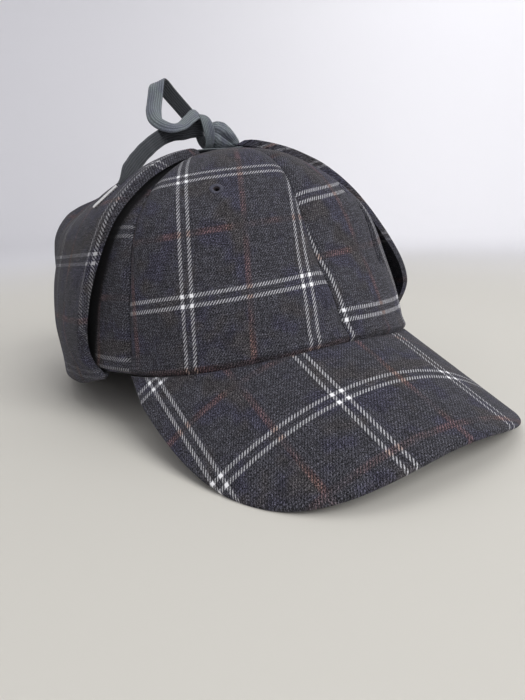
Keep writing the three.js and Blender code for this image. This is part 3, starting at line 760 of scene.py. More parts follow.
def even_route(points, step):
    """Places at even steps along the centripetal curve through a route's points."""
    points = np.asarray(points, float)
    framed = np.vstack([2 * points[0] - points[1], points, 2 * points[-1] - points[-2]])
    s = np.linspace(0, 1, 40, endpoint=False)[:, None]
    places = []
    for a, b, c, d in zip(framed, framed[1:], framed[2:], framed[3:]):
        before, here, after = (math.sqrt(np.linalg.norm(q - p)) for p, q in ((a, b), (b, c), (c, d)))
        start = here * ((b - a) / before - (c - a) / (before + here) + (c - b) / here)
        end = here * ((c - b) / here - (d - b) / (here + after) + (d - c) / after)
        cubic = 2 * b - 2 * c + start + end
        square = -3 * b + 3 * c - 2 * start - end
        places.append(b + start * s + square * s**2 + cubic * s**3)
    dense = np.vstack([*places, points[-1:]])
    run = np.concatenate([[0], np.cumsum(np.linalg.norm(np.diff(dense, axis=0), axis=1))])
    count = max(int(round(run[-1] / step)), 2)
    even = np.linspace(0, run[-1], count + 1)
    return np.stack([np.interp(even, run, dense[:, axis]) for axis in range(3)], axis=1)


def tape_section(ribs):
    """The tape's outline for a width and thickness of 2: its ribbed face and back, and how far across."""
    rib_depth = 0.12
    across = np.sin(np.linspace(-math.pi / 2, math.pi / 2, 48))
    edge = (1 - np.abs(across) ** 5) ** 0.5
    ribbed = edge * (1 - rib_depth + rib_depth * np.cos(math.pi * ribs * across))
    face = np.stack([across, ribbed], axis=1)
    back = np.stack([across[-2:0:-1], -ribbed[-2:0:-1]], axis=1)
    return np.vstack([face, back])


def tape_strip(centres, widths, thicknesses, sideways, sizes, closed=False, cups=0.0):
    """Points, faces and UV of a tape along centres, whose width lies along sideways; cups arch it."""
    centres = np.asarray(centres)
    widths, thicknesses, cups = (np.broadcast_to(v, len(centres)) for v in (widths, thicknesses, cups))
    tangents = unit(np.gradient(centres, axis=0))
    if closed:
        tangents = unit(np.roll(centres, -1, axis=0) - np.roll(centres, 1, axis=0))
    sideways = unit(sideways - np.sum(sideways * tangents, axis=1, keepdims=True) * tangents)
    facing = np.cross(tangents, sideways)
    section = tape_section(sizes.tape_ribs)
    arch = cups[:, None] * (1 - section[:, 0] ** 2)
    over = sideways[:, None] * section[None, :, :1] * widths[:, None, None] / 2
    up = facing[:, None] * (section[:, 1] * thicknesses[:, None] / 2 + arch)[..., None]
    rings = centres[:, None] + over + up
    run = np.concatenate([[0], np.cumsum(np.linalg.norm(np.diff(centres, axis=0), axis=1))])
    uv = np.zeros((*rings.shape[:2], 2))
    # One side of the tape is moved in the UV map to where it takes the painted shade colour
    uv[..., 0] = (section[:, 0] / 2 + np.where(section[:, 1] > 0, SHADED_SIDE, 0)) * sizes.tape_width
    uv[..., 1] = run[:, None]
    uv = uv.reshape(-1, 2)
    if not closed:
        points, faces = capped_tube(rings, centres[0], centres[-1])
        return points, faces, np.vstack([uv, uv[:1], uv[-1:]])
    count = len(section)
    last = (len(centres) - 1) * count
    faces = grid_faces(len(centres), count, wrap_rows=True)
    faces += [(last + i, last + (i + 1) % count, (i + 1) % count, i) for i in range(count)]
    return rings.reshape(-1, 3), faces, uv


def tape_piece(name, strip, material):
    points, faces, uv = strip
    return new_piece(name, points, faces, material, uv, "Tape", TAPE_CREASE)


def along_route(rows, count):
    """Values given at shares of a route, at each of its places."""
    shares = [row[0] for row in rows]
    values = np.array([row[1] for row in rows], float).reshape(len(rows), -1)
    at = np.linspace(0, 1, count)
    return np.stack([smooth_through(shares, column, at) for column in values.T], axis=1)


def tape_sideways(form, centres, rows):
    """Directions across a tape, which were set out along the picture's axes."""
    axes = np.stack([CAMERA_RIGHT, CAMERA_UP, np.cross(CAMERA_RIGHT, CAMERA_UP)])
    return along_route(rows, len(centres)) @ axes @ form.lean.T


def tape_route(form, rows):
    """A route of the tie at even steps, in the resting pose."""
    return even_route(form.settled(np.array(rows) * MM), 0.8 * MM)


def merged(strips):
    """Points, faces and UV of several closed shapes as one mesh."""
    points, faces, uv = [], [], []
    for strip_points, strip_faces, strip_uv in strips:
        start = sum(len(part) for part in points)
        faces += [tuple(start + i for i in face) for face in outward(strip_points, strip_faces)]
        points.append(strip_points)
        uv.append(strip_uv)
    return np.vstack(points), faces, np.vstack(uv)


class CAP_OT_stage(bpy.types.Operator):
    """Lay the floor, set the lights and place the camera"""

    bl_idname = "cap.stage"
    bl_label = "Stage"

    def execute(self, context):
        stage = context.scene.cap_stage
        self.lay_floor(stage)
        self.set_lights(context.scene, stage)
        self.place_camera(context.scene)
        return {"FINISHED"}

    def lay_floor(self, stage):
        """A round floor that curves up into a wall all round."""
        pinhole, flat, bend, height = 0.001, 1.4, 0.7, 1.5
        curve = np.linspace(0, math.pi / 2, 24)
        reach = [pinhole, *(flat + bend * np.sin(curve)), flat + bend]
        rise = [0.0, *(bend * (1 - np.cos(curve))), height]
        turn = np.linspace(0, 2 * math.pi, 97)
        points = [(r * math.cos(a), r * math.sin(a), z) for a in turn for r, z in zip(reach, rise)]
        mesh = bpy.data.meshes.new("floor")
        mesh.from_pydata(points, [], [face[::-1] for face in grid_faces(len(turn), len(reach))])
        mesh.shade_smooth()
        mesh.materials.append(pale_floor(stage))
        floor = bpy.data.objects.new("floor", mesh)
        bpy.context.scene.collection.objects.link(floor)

    def set_lights(self, scene, stage):
        for row in LIGHTS:
            self.area(row["name"], getattr(stage, row["power"]), row["size"], row["place"], row["target"])
        world = bpy.data.worlds.new("even light")
        world.use_nodes = True
        preset(world.node_tree.nodes["Background"], {"Color": (0.97, 0.97, 1.0, 1), "Strength": stage.sky})
        scene.world = world
        scene.view_settings.view_transform = "Standard"

    def area(self, name, power, size, place, target):
        light = bpy.data.lights.new(name, "AREA")
        light.energy = power
        light.size = size
        lamp = bpy.data.objects.new(name, light)
        lamp.location = place
        aim = Vector(target) - Vector(place)
        lamp.rotation_euler = aim.to_track_quat("-Z", "Y").to_euler()
        bpy.context.scene.collection.objects.link(lamp)

    def place_camera(self, scene):
        form = CapForm(scene.cap_sizes)
        right = form.lean @ np.array(CAMERA_RIGHT)
        up = form.lean @ np.array(CAMERA_UP)
        back = np.cross(right, up)
        axes = np.stack([right, up, back], axis=1)
        camera = bpy.data.objects.new("camera", bpy.data.cameras.new("camera"))
        camera.data.sensor_fit = "HORIZONTAL"
        camera.data.sensor_width = CAMERA_SENSOR
        camera.data.lens = CAMERA_LENS
        camera.data.clip_start = 0.01
        place = form.lean @ (np.array(CAMERA_PLACE) * MM) + form.shift
        camera.matrix_world = Matrix.Translation(place.tolist()) @ Matrix(axes.tolist()).to_4x4()
        scene.collection.objects.link(camera)
        scene.camera = camera


class CAP_OT_tie(bpy.types.Operator):
    """Make the tie: its loop, its free end with the aglet, and the knot on top of the crown"""

    bl_idname = "cap.tie"
    bl_label = "Tie"

    def execute(self, context):
        sizes = context.scene.cap_sizes
        form = CapForm(sizes)
        material = woven_tape(context.scene.cap_finish, sizes)
        self.loop(form, sizes, material)
        aglet = self.aglet(form, sizes, bright_metal(context.scene.cap_finish))
        self.tail(form, sizes, material, aglet)
        self.knot(form, sizes, material)
        return {"FINISHED"}

    def loop(self, form, sizes, material):
        centres = tape_route(form, TIE_LOOP)
        sideways = tape_sideways(form, centres, TIE_LOOP_ACROSS)
        cups = along_route(TIE_LOOP_CUP, len(centres))[:, 0] * MM
        strip = tape_strip(centres, sizes.tape_width, sizes.tape_thickness, sideways, sizes, cups=cups)
        piece = tape_piece("tie_loop_tape", strip, material)
        placed(piece, "cord", "tie_loop")

    def tail(self, form, sizes, material, aglet):
        """The free end, which is gathered into the aglet over the last share of its length."""
        gathered_share = 0.16
        centres = tape_route(form, TIE_TAIL)
        left = 1 - np.linspace(0, 1, len(centres))
        whole = smoothstep(left, 0, gathered_share)
        narrow, thick = 1.9 * sizes.aglet_radius, 1.7 * sizes.aglet_radius
        widths = narrow + (sizes.tape_width - narrow) * whole
        thicknesses = thick + (sizes.tape_thickness - thick) * whole
        sideways = tape_sideways(form, centres, TIE_TAIL_ACROSS)
        strip = tape_strip(centres, widths, thicknesses, sideways, sizes)
        piece = tape_piece("tie_tail_tape", strip, material)
        placed(piece, "cord", "tie_tail")

    def aglet(self, form, sizes, material):
        """A rolled sheath with a lapped edge, crimped near its mouth and rounded at its tip."""
        lap_depth, lap_reach = 0.06, 0.12
        start, end = form.settled(np.array(AGLET) * MM)
        radius = sizes.aglet_radius
        forward = unit(end - start)
        side = unit(np.cross(forward, (0, 0, 1)))
        up = np.cross(side, forward)
        turn = np.linspace(0, 2 * math.pi, 32, endpoint=False)
        lap = 1 - lap_depth * np.exp(-((turn - math.pi) / lap_reach) ** 2)
        ring = (np.cos(turn)[:, None] * side + np.sin(turn)[:, None] * up) * lap[:, None] * radius
        rings = [start + (end - start) * along + ring * reach for along, reach in AGLET_SECTIONS]
        points, faces = capped_tube(np.array(rings), start, end)
        piece = new_piece("tie_aglet_sheath", points, faces, material, crease=50)
        return placed(piece, "aglet", "tie_aglet")

    def knot(self, form, sizes, material):
        """A twisted lump of tape held by one upright turn, over a stretch sewn to the flap tips."""
        base = tape_route(form, TIE_BASE)
        sideways = tape_sideways(form, base, TIE_BASE_ACROSS)
        strips = [
            tape_strip(base, sizes.tape_width, sizes.tape_thickness, sideways, sizes),
            self.turn(form, sizes),
            self.lump(form),
        ]
        placed(tape_piece("tie_knot_tape", merged(strips), material), "cord", "tie_knot")

    def turn(self, form, sizes):
        """The upright turn of tape, hollow in the middle."""
        angle = np.linspace(0, 2 * math.pi, 90, endpoint=False)
        centre = np.array(KNOT_WRAP["place"]) * MM
        depth = KNOT_WRAP["depth"] * MM / 2 - sizes.tape_thickness / 2
        height = KNOT_WRAP["height"] * MM / 2 - sizes.tape_thickness / 2
        lean = KNOT_WRAP["lean"] * MM * np.sin(angle)
        ring = np.stack([-lean, depth * np.cos(angle), height * np.sin(angle)], axis=1)
        centres = form.settled(centre + ring)
        widths = (KNOT_WRAP["width"] + KNOT_WRAP["swing"] * np.cos(2 * angle + 0.6)) * MM
        sideways = -np.stack([np.ones(len(angle)), 0.22 * np.cos(angle), 0.2 * np.sin(2 * angle)], axis=1)
        return tape_strip(centres, widths, 1.2 * sizes.tape_thickness, sideways, sizes, closed=True)

    def lump(self, form):
        """Three folds of tape twisted together, which run out to the right."""
        folds, first_fold, twist, arch = 3, 0.9, 1.9, 1.0 * MM
        crumple_size, crumple_seed = 0.55, 4.3
        valley, fold_rise, crumple_rise = 0.72, 0.32, 0.2
        girth, skew, length = -30, 6 * MM, 24
        s = np.linspace(0, 1, 56)[:, None]
        turn = np.linspace(0, 2 * math.pi, 72, endpoint=False)
        start, end = np.array(KNOT_AXIS) * MM
        axis = start + (end - start) * s
        axis[:, 2] += arch * np.sin(math.pi * s[:, 0])
        forward = unit(end - start)
        side = unit(np.cross((0, 0, 1), forward))
        up = np.cross(forward, side)
        depth = smooth_through(KNOT_STATIONS, KNOT_DEPTHS, s) * MM
        height = smooth_through(KNOT_STATIONS, KNOT_HEIGHTS, s) * MM
        ridges = np.abs(np.sin(folds / 2 * (turn[None] - first_fold) - twist * s))
        around = np.stack(np.broadcast_arrays(np.cos(turn), np.sin(turn), 3 * s), axis=-1)
        crumple = soft_noise(around, crumple_size, crumple_seed)
        swell = valley + fold_rise * ridges**0.75 + crumple_rise * crumple
        over = (depth * swell * np.cos(turn))[..., None] * side
        rise = (height * swell * np.sin(turn))[..., None] * up
        rings = form.settled(axis[:, None] + over + rise)
        uv = np.zeros((*rings.shape[:2], 2))
        uv[..., 0] = (turn / (2 * math.pi) * girth * MM)[None] + skew * s
        uv[..., 1] = s * length * MM
        points, faces = capped_tube(rings, rings[0].mean(0), rings[-1].mean(0))
        return points, faces, np.vstack([uv.reshape(-1, 2), np.zeros((2, 2))])


class CAP_OT_crown(bpy.types.Operator):
    """Make the six panels of the crown and punch the eyelets of the two in front"""

    bl_idname = "cap.crown"
    bl_label = "Crown"

    columns = 96
    rows = 76
    hem_rows = 8

    def execute(self, context):
        sizes = context.scene.cap_sizes
        form = CapForm(sizes)
        finish = context.scene.cap_finish
        # A lit copy of the cloth, and a copy whose white threads are dimmed as painted shade
        bright = checked_cloth(finish, "checked_cloth", 0)
        dimmed_in_shade = checked_cloth(finish, "faded_cloth", finish.whites_shading)
        for row in PANELS:
            material = dimmed_in_shade if row["dimmed_in_shade"] else bright
            piece = self.panel(form, sizes, finish, row, material)
            for eyelet in EYELETS:
                if eyelet["panel"] == row["node"]:
                    self.punch(form, sizes, piece, eyelet)
            placed(piece, "cloth", row["node"])
        return {"FINISHED"}

    def grid(self, row):
        """Shares across a panel, crowded at its seams, and the angles and heights of its points."""
        crowding, hem_top, top = 0.6, 0.02, 0.99
        step = (1 - np.cos(np.linspace(0, math.pi, self.columns))) / 2
        step = crowding * step + (1 - crowding) * np.linspace(0, 1, self.columns)
        hem = np.linspace(0, hem_top, self.hem_rows, endpoint=False)
        rise = np.concatenate([hem, np.linspace(hem_top, top, self.rows)])
        angle = (row["from"] + (row["to"] - row["from"]) * step)[:, None]
        return step, angle, np.sin(rise * math.pi / 2)[None]

    def panel(self, form, sizes, finish, row, material):
        step, angle, height = self.grid(row)
        face = form.crown(angle, height)
        normal = form.crown_normal(angle, height)
        width = np.linalg.norm(form.crown(row["to"], height) - form.crown(row["from"], height), axis=-1)
        away = np.minimum(step, 1 - step)[:, None] * width
        dip = self.seam(sizes, away)
        # Painted shade: darkened in the gap under the flap's front edges and in the pleats' grooves
        shade = self.flap_gap_shade(angle, height)
        if row["pleats"]:
            for deep, groove in self.pleats(height, (1 - step)[:, None] * width):
                dip = dip + deep * groove
                shade = np.maximum(shade, PLEAT_SHADE * groove)
        lumps = LUMP_HEIGHT * soft_noise(face, LUMP_WIDTH, row["grain"]) * smoothstep(away, 0, LUMP_CLEAR)
        fade = smoothstep(height, 0, 0.08) * (1 - smoothstep(height, 0.9, 0.99))
        risen = height * sizes.crown_height * np.ones(angle.shape)
        around = form.crown_around(angle, height)
        outer = face + around * ((0.5 - step) * sizes.seam_gap)[:, None, None]
        outer = outer + normal * ((lumps - dip) * fade + self.hem(risen))[..., None]
        inner = outer - self.inward(sizes, normal, height) * sizes.crown_wall
        uv = self.threads(form, finish, row, angle, face)
        points, faces, uv = shell(form.settled(outer), form.settled(inner), uv)
        piece = new_piece(row["node"].replace("panel", "cloth"), points, faces, material, uv)
        return marked(piece, SHADE, shade)

    def seam(self, sizes, away):
        """How far the cloth sinks beside a seam: a wide dip with a sharp crease in it."""
        crease, crease_reach = 0.8 * MM, 0.8 * MM
        dip = sizes.seam_dip * np.exp(-((away / sizes.seam_reach) ** 2))
        return dip + crease * np.exp(-away / crease_reach)

    def pleats(self, height, from_side):
        """The depth of each pleat, with its groove as a share of that."""
        fade_out, fade_in = 0.03, 0.04
        low, high = PLEAT_HEIGHTS
        window = smoothstep(height, low - fade_out, low + fade_in)
        window = window * (1 - smoothstep(height, high - fade_in, high + fade_out))
        for low_off, high_off, deep in PLEATS:
            off = low_off + (high_off - low_off) * (height - low) / (high - low)
            yield deep * MM, window * np.exp(-(((from_side - off * MM) / PLEAT_WIDTH) ** 2))

    def hem(self, risen):
        """The hem's roll, and its edge that is turned in."""
        roll, roll_height, roll_reach = 0.8 * MM, 3.2 * MM, 2 * MM
        turned_in, turn_reach = 1.8 * MM, 1.2 * MM
        rolled = roll * np.exp(-(((risen - roll_height) / roll_reach) ** 2))
        return rolled - turned_in * np.exp(-((risen / turn_reach) ** 2))

    def inward(self, sizes, normal, height):
        """Directions through the cloth: level at the rim, so that its edge is flat."""
        level_reach = 5 * MM
        at_rim = np.exp(-((height * sizes.crown_height / level_reach) ** 2))[..., None]
        return unit(level(normal) * at_rim + normal * (1 - at_rim))

    def flap_gap_shade(self, angle, height):
        """Painted shade in the gap under the flap's front edges: how deep in that gap each place lies."""
        starts, ends = (-0.8, 1.2), (8, 16)
        right = -angle - smooth_through(FLAP_FRONT_HEIGHTS, FLAP_FRONT_RIGHT, height)
        left = angle - smooth_through(FLAP_FRONT_HEIGHTS, FLAP_FRONT_LEFT, height)
        under = np.maximum(right, left)
        return smoothstep(under, *starts) * (1 - smoothstep(under, *ends))

    def threads(self, form, finish, row, angle, face):
        """Place on the cloth: across from the middle thread, and up along it."""
        samples = 400
        grain_line = form.crown(np.full(samples, row["grain"]), np.linspace(0, NEAR_TOP, samples))
        run = np.concatenate([[0], np.cumsum(np.linalg.norm(np.diff(grain_line, axis=0), axis=1))])
        at = face[..., 2]
        up = np.interp(at, grain_line[:, 2], run) + np.minimum(at - grain_line[0, 2], 0)
        white = np.interp(row["white"] * MM, grain_line[:, 2], run)
        white += min(row["white"] * MM - grain_line[0, 2], 0)
        hop = np.linalg.norm(np.diff(face, axis=0), axis=-1)
        from_seam = np.concatenate([np.zeros((1, face.shape[1])), np.cumsum(hop, axis=0)])
        middle = [np.interp(row["grain"], angle[:, 0], column) for column in from_seam.T]
        across = from_seam - np.array(middle)[None]
        half = finish.check_repeat / 2
        risen = (up - white) * row["stretch"][1]
        low, high = row["slant"]
        slant = low + (high - low) * np.clip(risen / finish.check_repeat, 0, 1)
        leaned = row["lean"] * np.minimum(risen + half, row["leans_to"] * MM)
        sideways = (across + row["aside"] * MM - leaned) * row["stretch"][0]
        return np.stack([sideways, risen - slant * across + half], axis=-1)

    def punch(self, form, sizes, piece, eyelet):
        """Cuts an eyelet's hole through a panel."""
        angle, height = np.array(float(eyelet["angle"])), np.array(eyelet["height"])
        normal = Vector(form.lean @ form.crown_normal(angle, height))
        centre = Vector(form.settled(form.crown(angle, height)))
        turn = np.linspace(0, 2 * math.pi, 24, endpoint=False)
        side = normal.orthogonal().normalized()
        other = normal.cross(side)
        ring = [sizes.eyelet_radius * (math.cos(a) * side + math.sin(a) * other) for a in turn]
        reach = 4 * sizes.crown_wall * normal
        points = [centre + spoke + end for end in (-reach, reach) for spoke in ring]
        count = len(ring)
        faces = [(i, (i + 1) % count, count + (i + 1) % count, count + i) for i in range(count)]
        faces += [tuple(range(count))[::-1], tuple(range(count, 2 * count))]
        cutter = new_piece("punch", [tuple(p) for p in points], faces, piece.data.materials[0])
        cut = piece.modifiers.new("eyelet", "BOOLEAN")
        cut.operation = "DIFFERENCE"
        cut.solver = "EXACT"
        cut.object = cutter
        converted(piece)
        bpy.data.objects.remove(cutter)


class CAP_OT_eyelets(bpy.types.Operator):
    """Sew the thread rings of the two eyelets"""

    bl_idname = "cap.eyelets"
    bl_label = "Eyelet Stitches"

    def execute(self, context):
        sizes = context.scene.cap_sizes
        form = CapForm(sizes)
        tree = self.stitch_tree(stitch_thread(context.scene.cap_finish))
        for row in EYELETS:
            angle, height = np.array(float(row["angle"])), np.array(row["height"])
            normal = Vector(form.lean @ form.crown_normal(angle, height))
            proud = 0.15 * MM
            centre = Vector(form.settled(form.crown(angle, height))) + proud * normal
            values = {
                "Ring Radius": sizes.eyelet_radius + 0.9 * MM,
                "Stitch Length": 1.9 * MM,
                "Thread Radius": 0.26 * MM,
                "Stitches": 26,
                "Place": centre,
                "Turn": normal.to_track_quat("Z", "Y").to_euler(),
            }
            side = "right" if row["angle"] < 0 else "left"
            piece = grown("eyelet_stitches_" + side, tree, values)
            placed(piece, "cloth")
        return {"FINISHED"}

    def stitch_tree(self, material):
        group = bpy.data.node_groups.new("Eyelet stitches", "GeometryNodeTree")
        floats = ("Ring Radius", "Stitch Length", "Thread Radius")
        kinds = {name: "NodeSocketFloat" for name in floats}
        kinds.update({"Stitches": "NodeSocketInt", "Place": "NodeSocketVector", "Turn": "NodeSocketVector"})
        tree, inputs = new_tree(group, kinds)
        radius, thread = inputs["Ring Radius"], inputs["Thread Radius"]
        circle = tree.make("GeometryNodeCurvePrimitiveCircle", {"mode": "RADIUS"},
                           {"Resolution": inputs["Stitches"], "Radius": radius})
        stitch = tree.make("GeometryNodeMeshUVSphere", (), {"Segments": 8, "Rings": 6, "Radius": 1.0})
        spot = tree.make("GeometryNodeInputPosition")
        aim = tree.make("FunctionNodeAlignRotationToVector", {"axis": "X"}, {"Vector": spot})
        size = tree.make("ShaderNodeCombineXYZ", (),
                         {"X": inputs["Stitch Length"] * 0.5, "Y": thread * 1.15, "Z": thread * 1.5})
        points = tree.make("GeometryNodeCurveToPoints", {"mode": "EVALUATED"}, {"Curve": circle})
        stitches = tree.make("GeometryNodeInstanceOnPoints", (),
                             {"Points": points, "Instance": stitch, "Rotation": aim, "Scale": size})
        real = tree.make("GeometryNodeRealizeInstances", (), {"Geometry": stitches})
        moved = tree.make("GeometryNodeTransform", (),
                          {"Geometry": real, "Translation": inputs["Place"], "Rotation": inputs["Turn"]})
        smooth = tree.make("GeometryNodeSetShadeSmooth", (), {0: moved})
        end_tree(tree, smooth, material)
        return group


def new_tree(group, kinds):
    """Names a tree's inputs and gives their sockets."""
    for name, kind in kinds.items():
        group.interface.new_socket(name, in_out="INPUT", socket_type=kind)
    group.interface.new_socket("Mesh", in_out="OUTPUT", socket_type="NodeSocketGeometry")
    start = group.nodes.new("NodeGroupInput")
    return Socket(group), {name: Socket(group, start.outputs[name]) for name in kinds}


def end_tree(tree, mesh, material):
    """Gives a tree's mesh its material and makes it the result."""
    coloured = tree.make("GeometryNodeSetMaterial", (), {"Geometry": mesh, "Material": material})
    end = tree.tree.nodes.new("NodeGroupOutput")
    tree.tree.links.new(coloured.output, end.inputs["Mesh"])


def grown(name, group, values):
    """A piece made by a tree with these inputs, turned into a plain mesh."""
    piece = bpy.data.objects.new(name, bpy.data.meshes.new(name))
    modifier = piece.modifiers.new("grown", "NODES")
    modifier.node_group = group
    for item in group.interface.items_tree:
        if item.in_out == "INPUT":
            modifier[item.identifier] = values[item.name]
    bpy.context.scene.collection.objects.link(piece)
    bpy.context.view_layer.update()
    converted(piece)
    if not piece.data.polygons:
        raise RuntimeError(f"{name}: its tree made no faces")
    return piece


class CAP_OT_visor(bpy.types.Operator):
    """Bend the visor's sheet round its cylinder and round its edges"""

    bl_idname = "cap.visor"
    bl_label = "Visor"

    def execute(self, context):
        sizes = context.scene.cap_sizes
        material = bpy.data.materials["checked_cloth"]
        group = self.sheet_tree(material, CapForm(sizes))
        values = {
            "Rim Half Width": sizes.rim_half_width,
            "Rim Half Length": sizes.rim_half_length,
            "Rim Squareness": sizes.rim_squareness,
            "Length": sizes.visor_length,
            "Bend Radius": sizes.visor_bend,
            "Slope": sizes.visor_slope,
            "Half Arc": sizes.visor_half_arc,
            "Back Sweep": sizes.visor_back_sweep,
            "Squareness": sizes.visor_squareness,
            "Thickness": sizes.visor_thickness,
            "Tuck": sizes.visor_tuck,
            "Gap": sizes.seam_gap,
        }
        piece = grown("visor_cloth", group, values)
        placed(piece, "cloth", "visor")
        return {"FINISHED"}

    def sheet_tree(self, material, form):
        """A grid whose one side goes across the visor and whose other goes over its upper face, from
        under the crown to the front edge, and back along its under face."""
        group = bpy.data.node_groups.new("Bent visor", "GeometryNodeTree")
        names = ("Rim Half Width", "Rim Half Length", "Rim Squareness", "Length", "Bend Radius", "Slope",
                 "Half Arc", "Back Sweep", "Squareness", "Thickness", "Tuck", "Gap")
        tree, size = new_tree(group, {name: "NodeSocketFloat" for name in names})
        grid = tree.make("GeometryNodeMeshGrid", (),
                         {"Size X": 2.0, "Size Y": 2.0, "Vertices X": 141, "Vertices Y": 121})
        spot = tree.make("GeometryNodeInputPosition")
        split = tree.make("ShaderNodeSeparateXYZ", (), {0: spot})
        x, y = split, split.out("Y")
        across = x * (3 - x * x) * 0.5
        ahead = 1 - abs(y)
        run = ahead * ahead * (3 - 2 * ahead)
        arc, down = self.place_on_sheet(size, across, run)
        rounding = self.edge_share(run, across, size)
        face = y.math("SIGN") * rounding
        bend = arc / size["Bend Radius"]
        slope_sine, slope_cosine = size["Slope"].math("SINE"), size["Slope"].math("COSINE")
        bend_sine, bend_cosine = bend.math("SINE"), bend.math("COSINE")
        normal = (bend_sine * slope_cosine, bend_cosine * slope_sine * -1, bend_cosine * slope_cosine)
        lift = (face - 1) * size["Thickness"] * 0.5
        length = (normal[0] * normal[0] + normal[1] * normal[1] + normal[2] * normal[2]).math("SQRT")
        lift = lift / length
        px = size["Bend Radius"] * bend_sine + normal[0] * lift
        py = (size["Rim Half Length"] + down * slope_cosine) * -1 + normal[1] * lift
        pz = size["Bend Radius"] * (bend_cosine - 1) - down * slope_sine - size["Gap"] + normal[2] * lift
        pitch_sine, pitch_cosine = float(form.lean[2, 1]), float(form.lean[1, 1])
        shift = [float(part) for part in form.shift]
        rest_x = px + shift[0]
        rest_y = py * pitch_cosine - pz * pitch_sine + shift[1]
        rest_z = (py * pitch_sine + pz * pitch_cosine + shift[2]).math("MAXIMUM", 0.0)
        rest = tree.make("ShaderNodeCombineXYZ", (), {"X": rest_x, "Y": rest_y, "Z": rest_z})
        uv = tree.make("ShaderNodeCombineXYZ", (), self.threads(arc, down))
        mapped = tree.make("GeometryNodeStoreNamedAttribute", {"data_type": "FLOAT2", "domain": "CORNER"},
                           {"Geometry": grid, "Name": "Cloth", "Value": uv})
        bent = tree.make("GeometryNodeSetPosition", (), {"Geometry": mapped, "Position": rest})
        closed = tree.make("GeometryNodeMergeByDistance", (), {"Geometry": bent, "Distance": 0.005 * MM})
        smooth = tree.make("GeometryNodeSetShadeSmooth", (), {0: closed})
        real = tree.make("GeometryNodeRealizeInstances", (), {"Geometry": smooth})
        end_tree(tree, real, material)
        return group

    def place_on_sheet(self, size, across, run):
        """Arc across and run down the slope, between the rim and the visor's outline."""
        sign = across.math("SIGN")
        turn = across * math.radians(SIDE_SEAM)
        power = 2 / size["Squareness"]
        rim_power = 2 / size["Rim Squareness"]
        rim_x = size["Rim Half Width"] * sign * abs(turn.math("SINE")) ** rim_power
        rim_y = size["Rim Half Length"] * turn.math("COSINE") ** rim_power * -1
        rim_arc = size["Bend Radius"] * (rim_x / size["Bend Radius"]).math("ARCSINE")
        rim_run = (rim_y * -1 - size["Rim Half Length"]) / size["Slope"].math("COSINE")
        half_turn = across * (math.pi / 2)
        edge_arc = size["Half Arc"] * sign * abs(half_turn.math("SINE")) ** power
        reach = (size["Length"] + size["Back Sweep"]) * abs(half_turn.math("COSINE")) ** power
        edge_run = reach - size["Back Sweep"]
        tucked = run * (1 + size["Tuck"] / size["Length"]) - size["Tuck"] / size["Length"]
        arc = rim_arc + (edge_arc - rim_arc) * tucked
        down = rim_run + (edge_run - rim_run) * tucked
        return arc, down

    def edge_share(self, run, across, size):
        """Share of the thickness: all of it inside, rounded off to nothing at every edge."""
        roundness, side_bevel = 0.6, 0.02
        bevel = size["Thickness"] * roundness / size["Length"]
        left = ((1 - run) / bevel).math("MINIMUM", run / bevel)
        left = left.math("MINIMUM", (1 - abs(across)) / side_bevel).math("MINIMUM", 1.0)
        over = 1 - left
        return (1 - over * over).math("MAXIMUM", 0.0).math("SQRT")

    def threads(self, arc, down):
        """Place on the cloth: a pair of white threads near its middle, and one across that droops aside."""
        pair_off, cross_down = 25.8 * MM, 25.6 * MM
        crowding, slant, droop = 0.55, 0.055, 1.0
        half = bpy.context.scene.cap_finish.check_repeat / 2
        off = arc + pair_off
        across = off - off * off * crowding + half
        up = arc * slant - arc * arc * droop - down + (cross_down + half)
        return {"X": across, "Y": up}


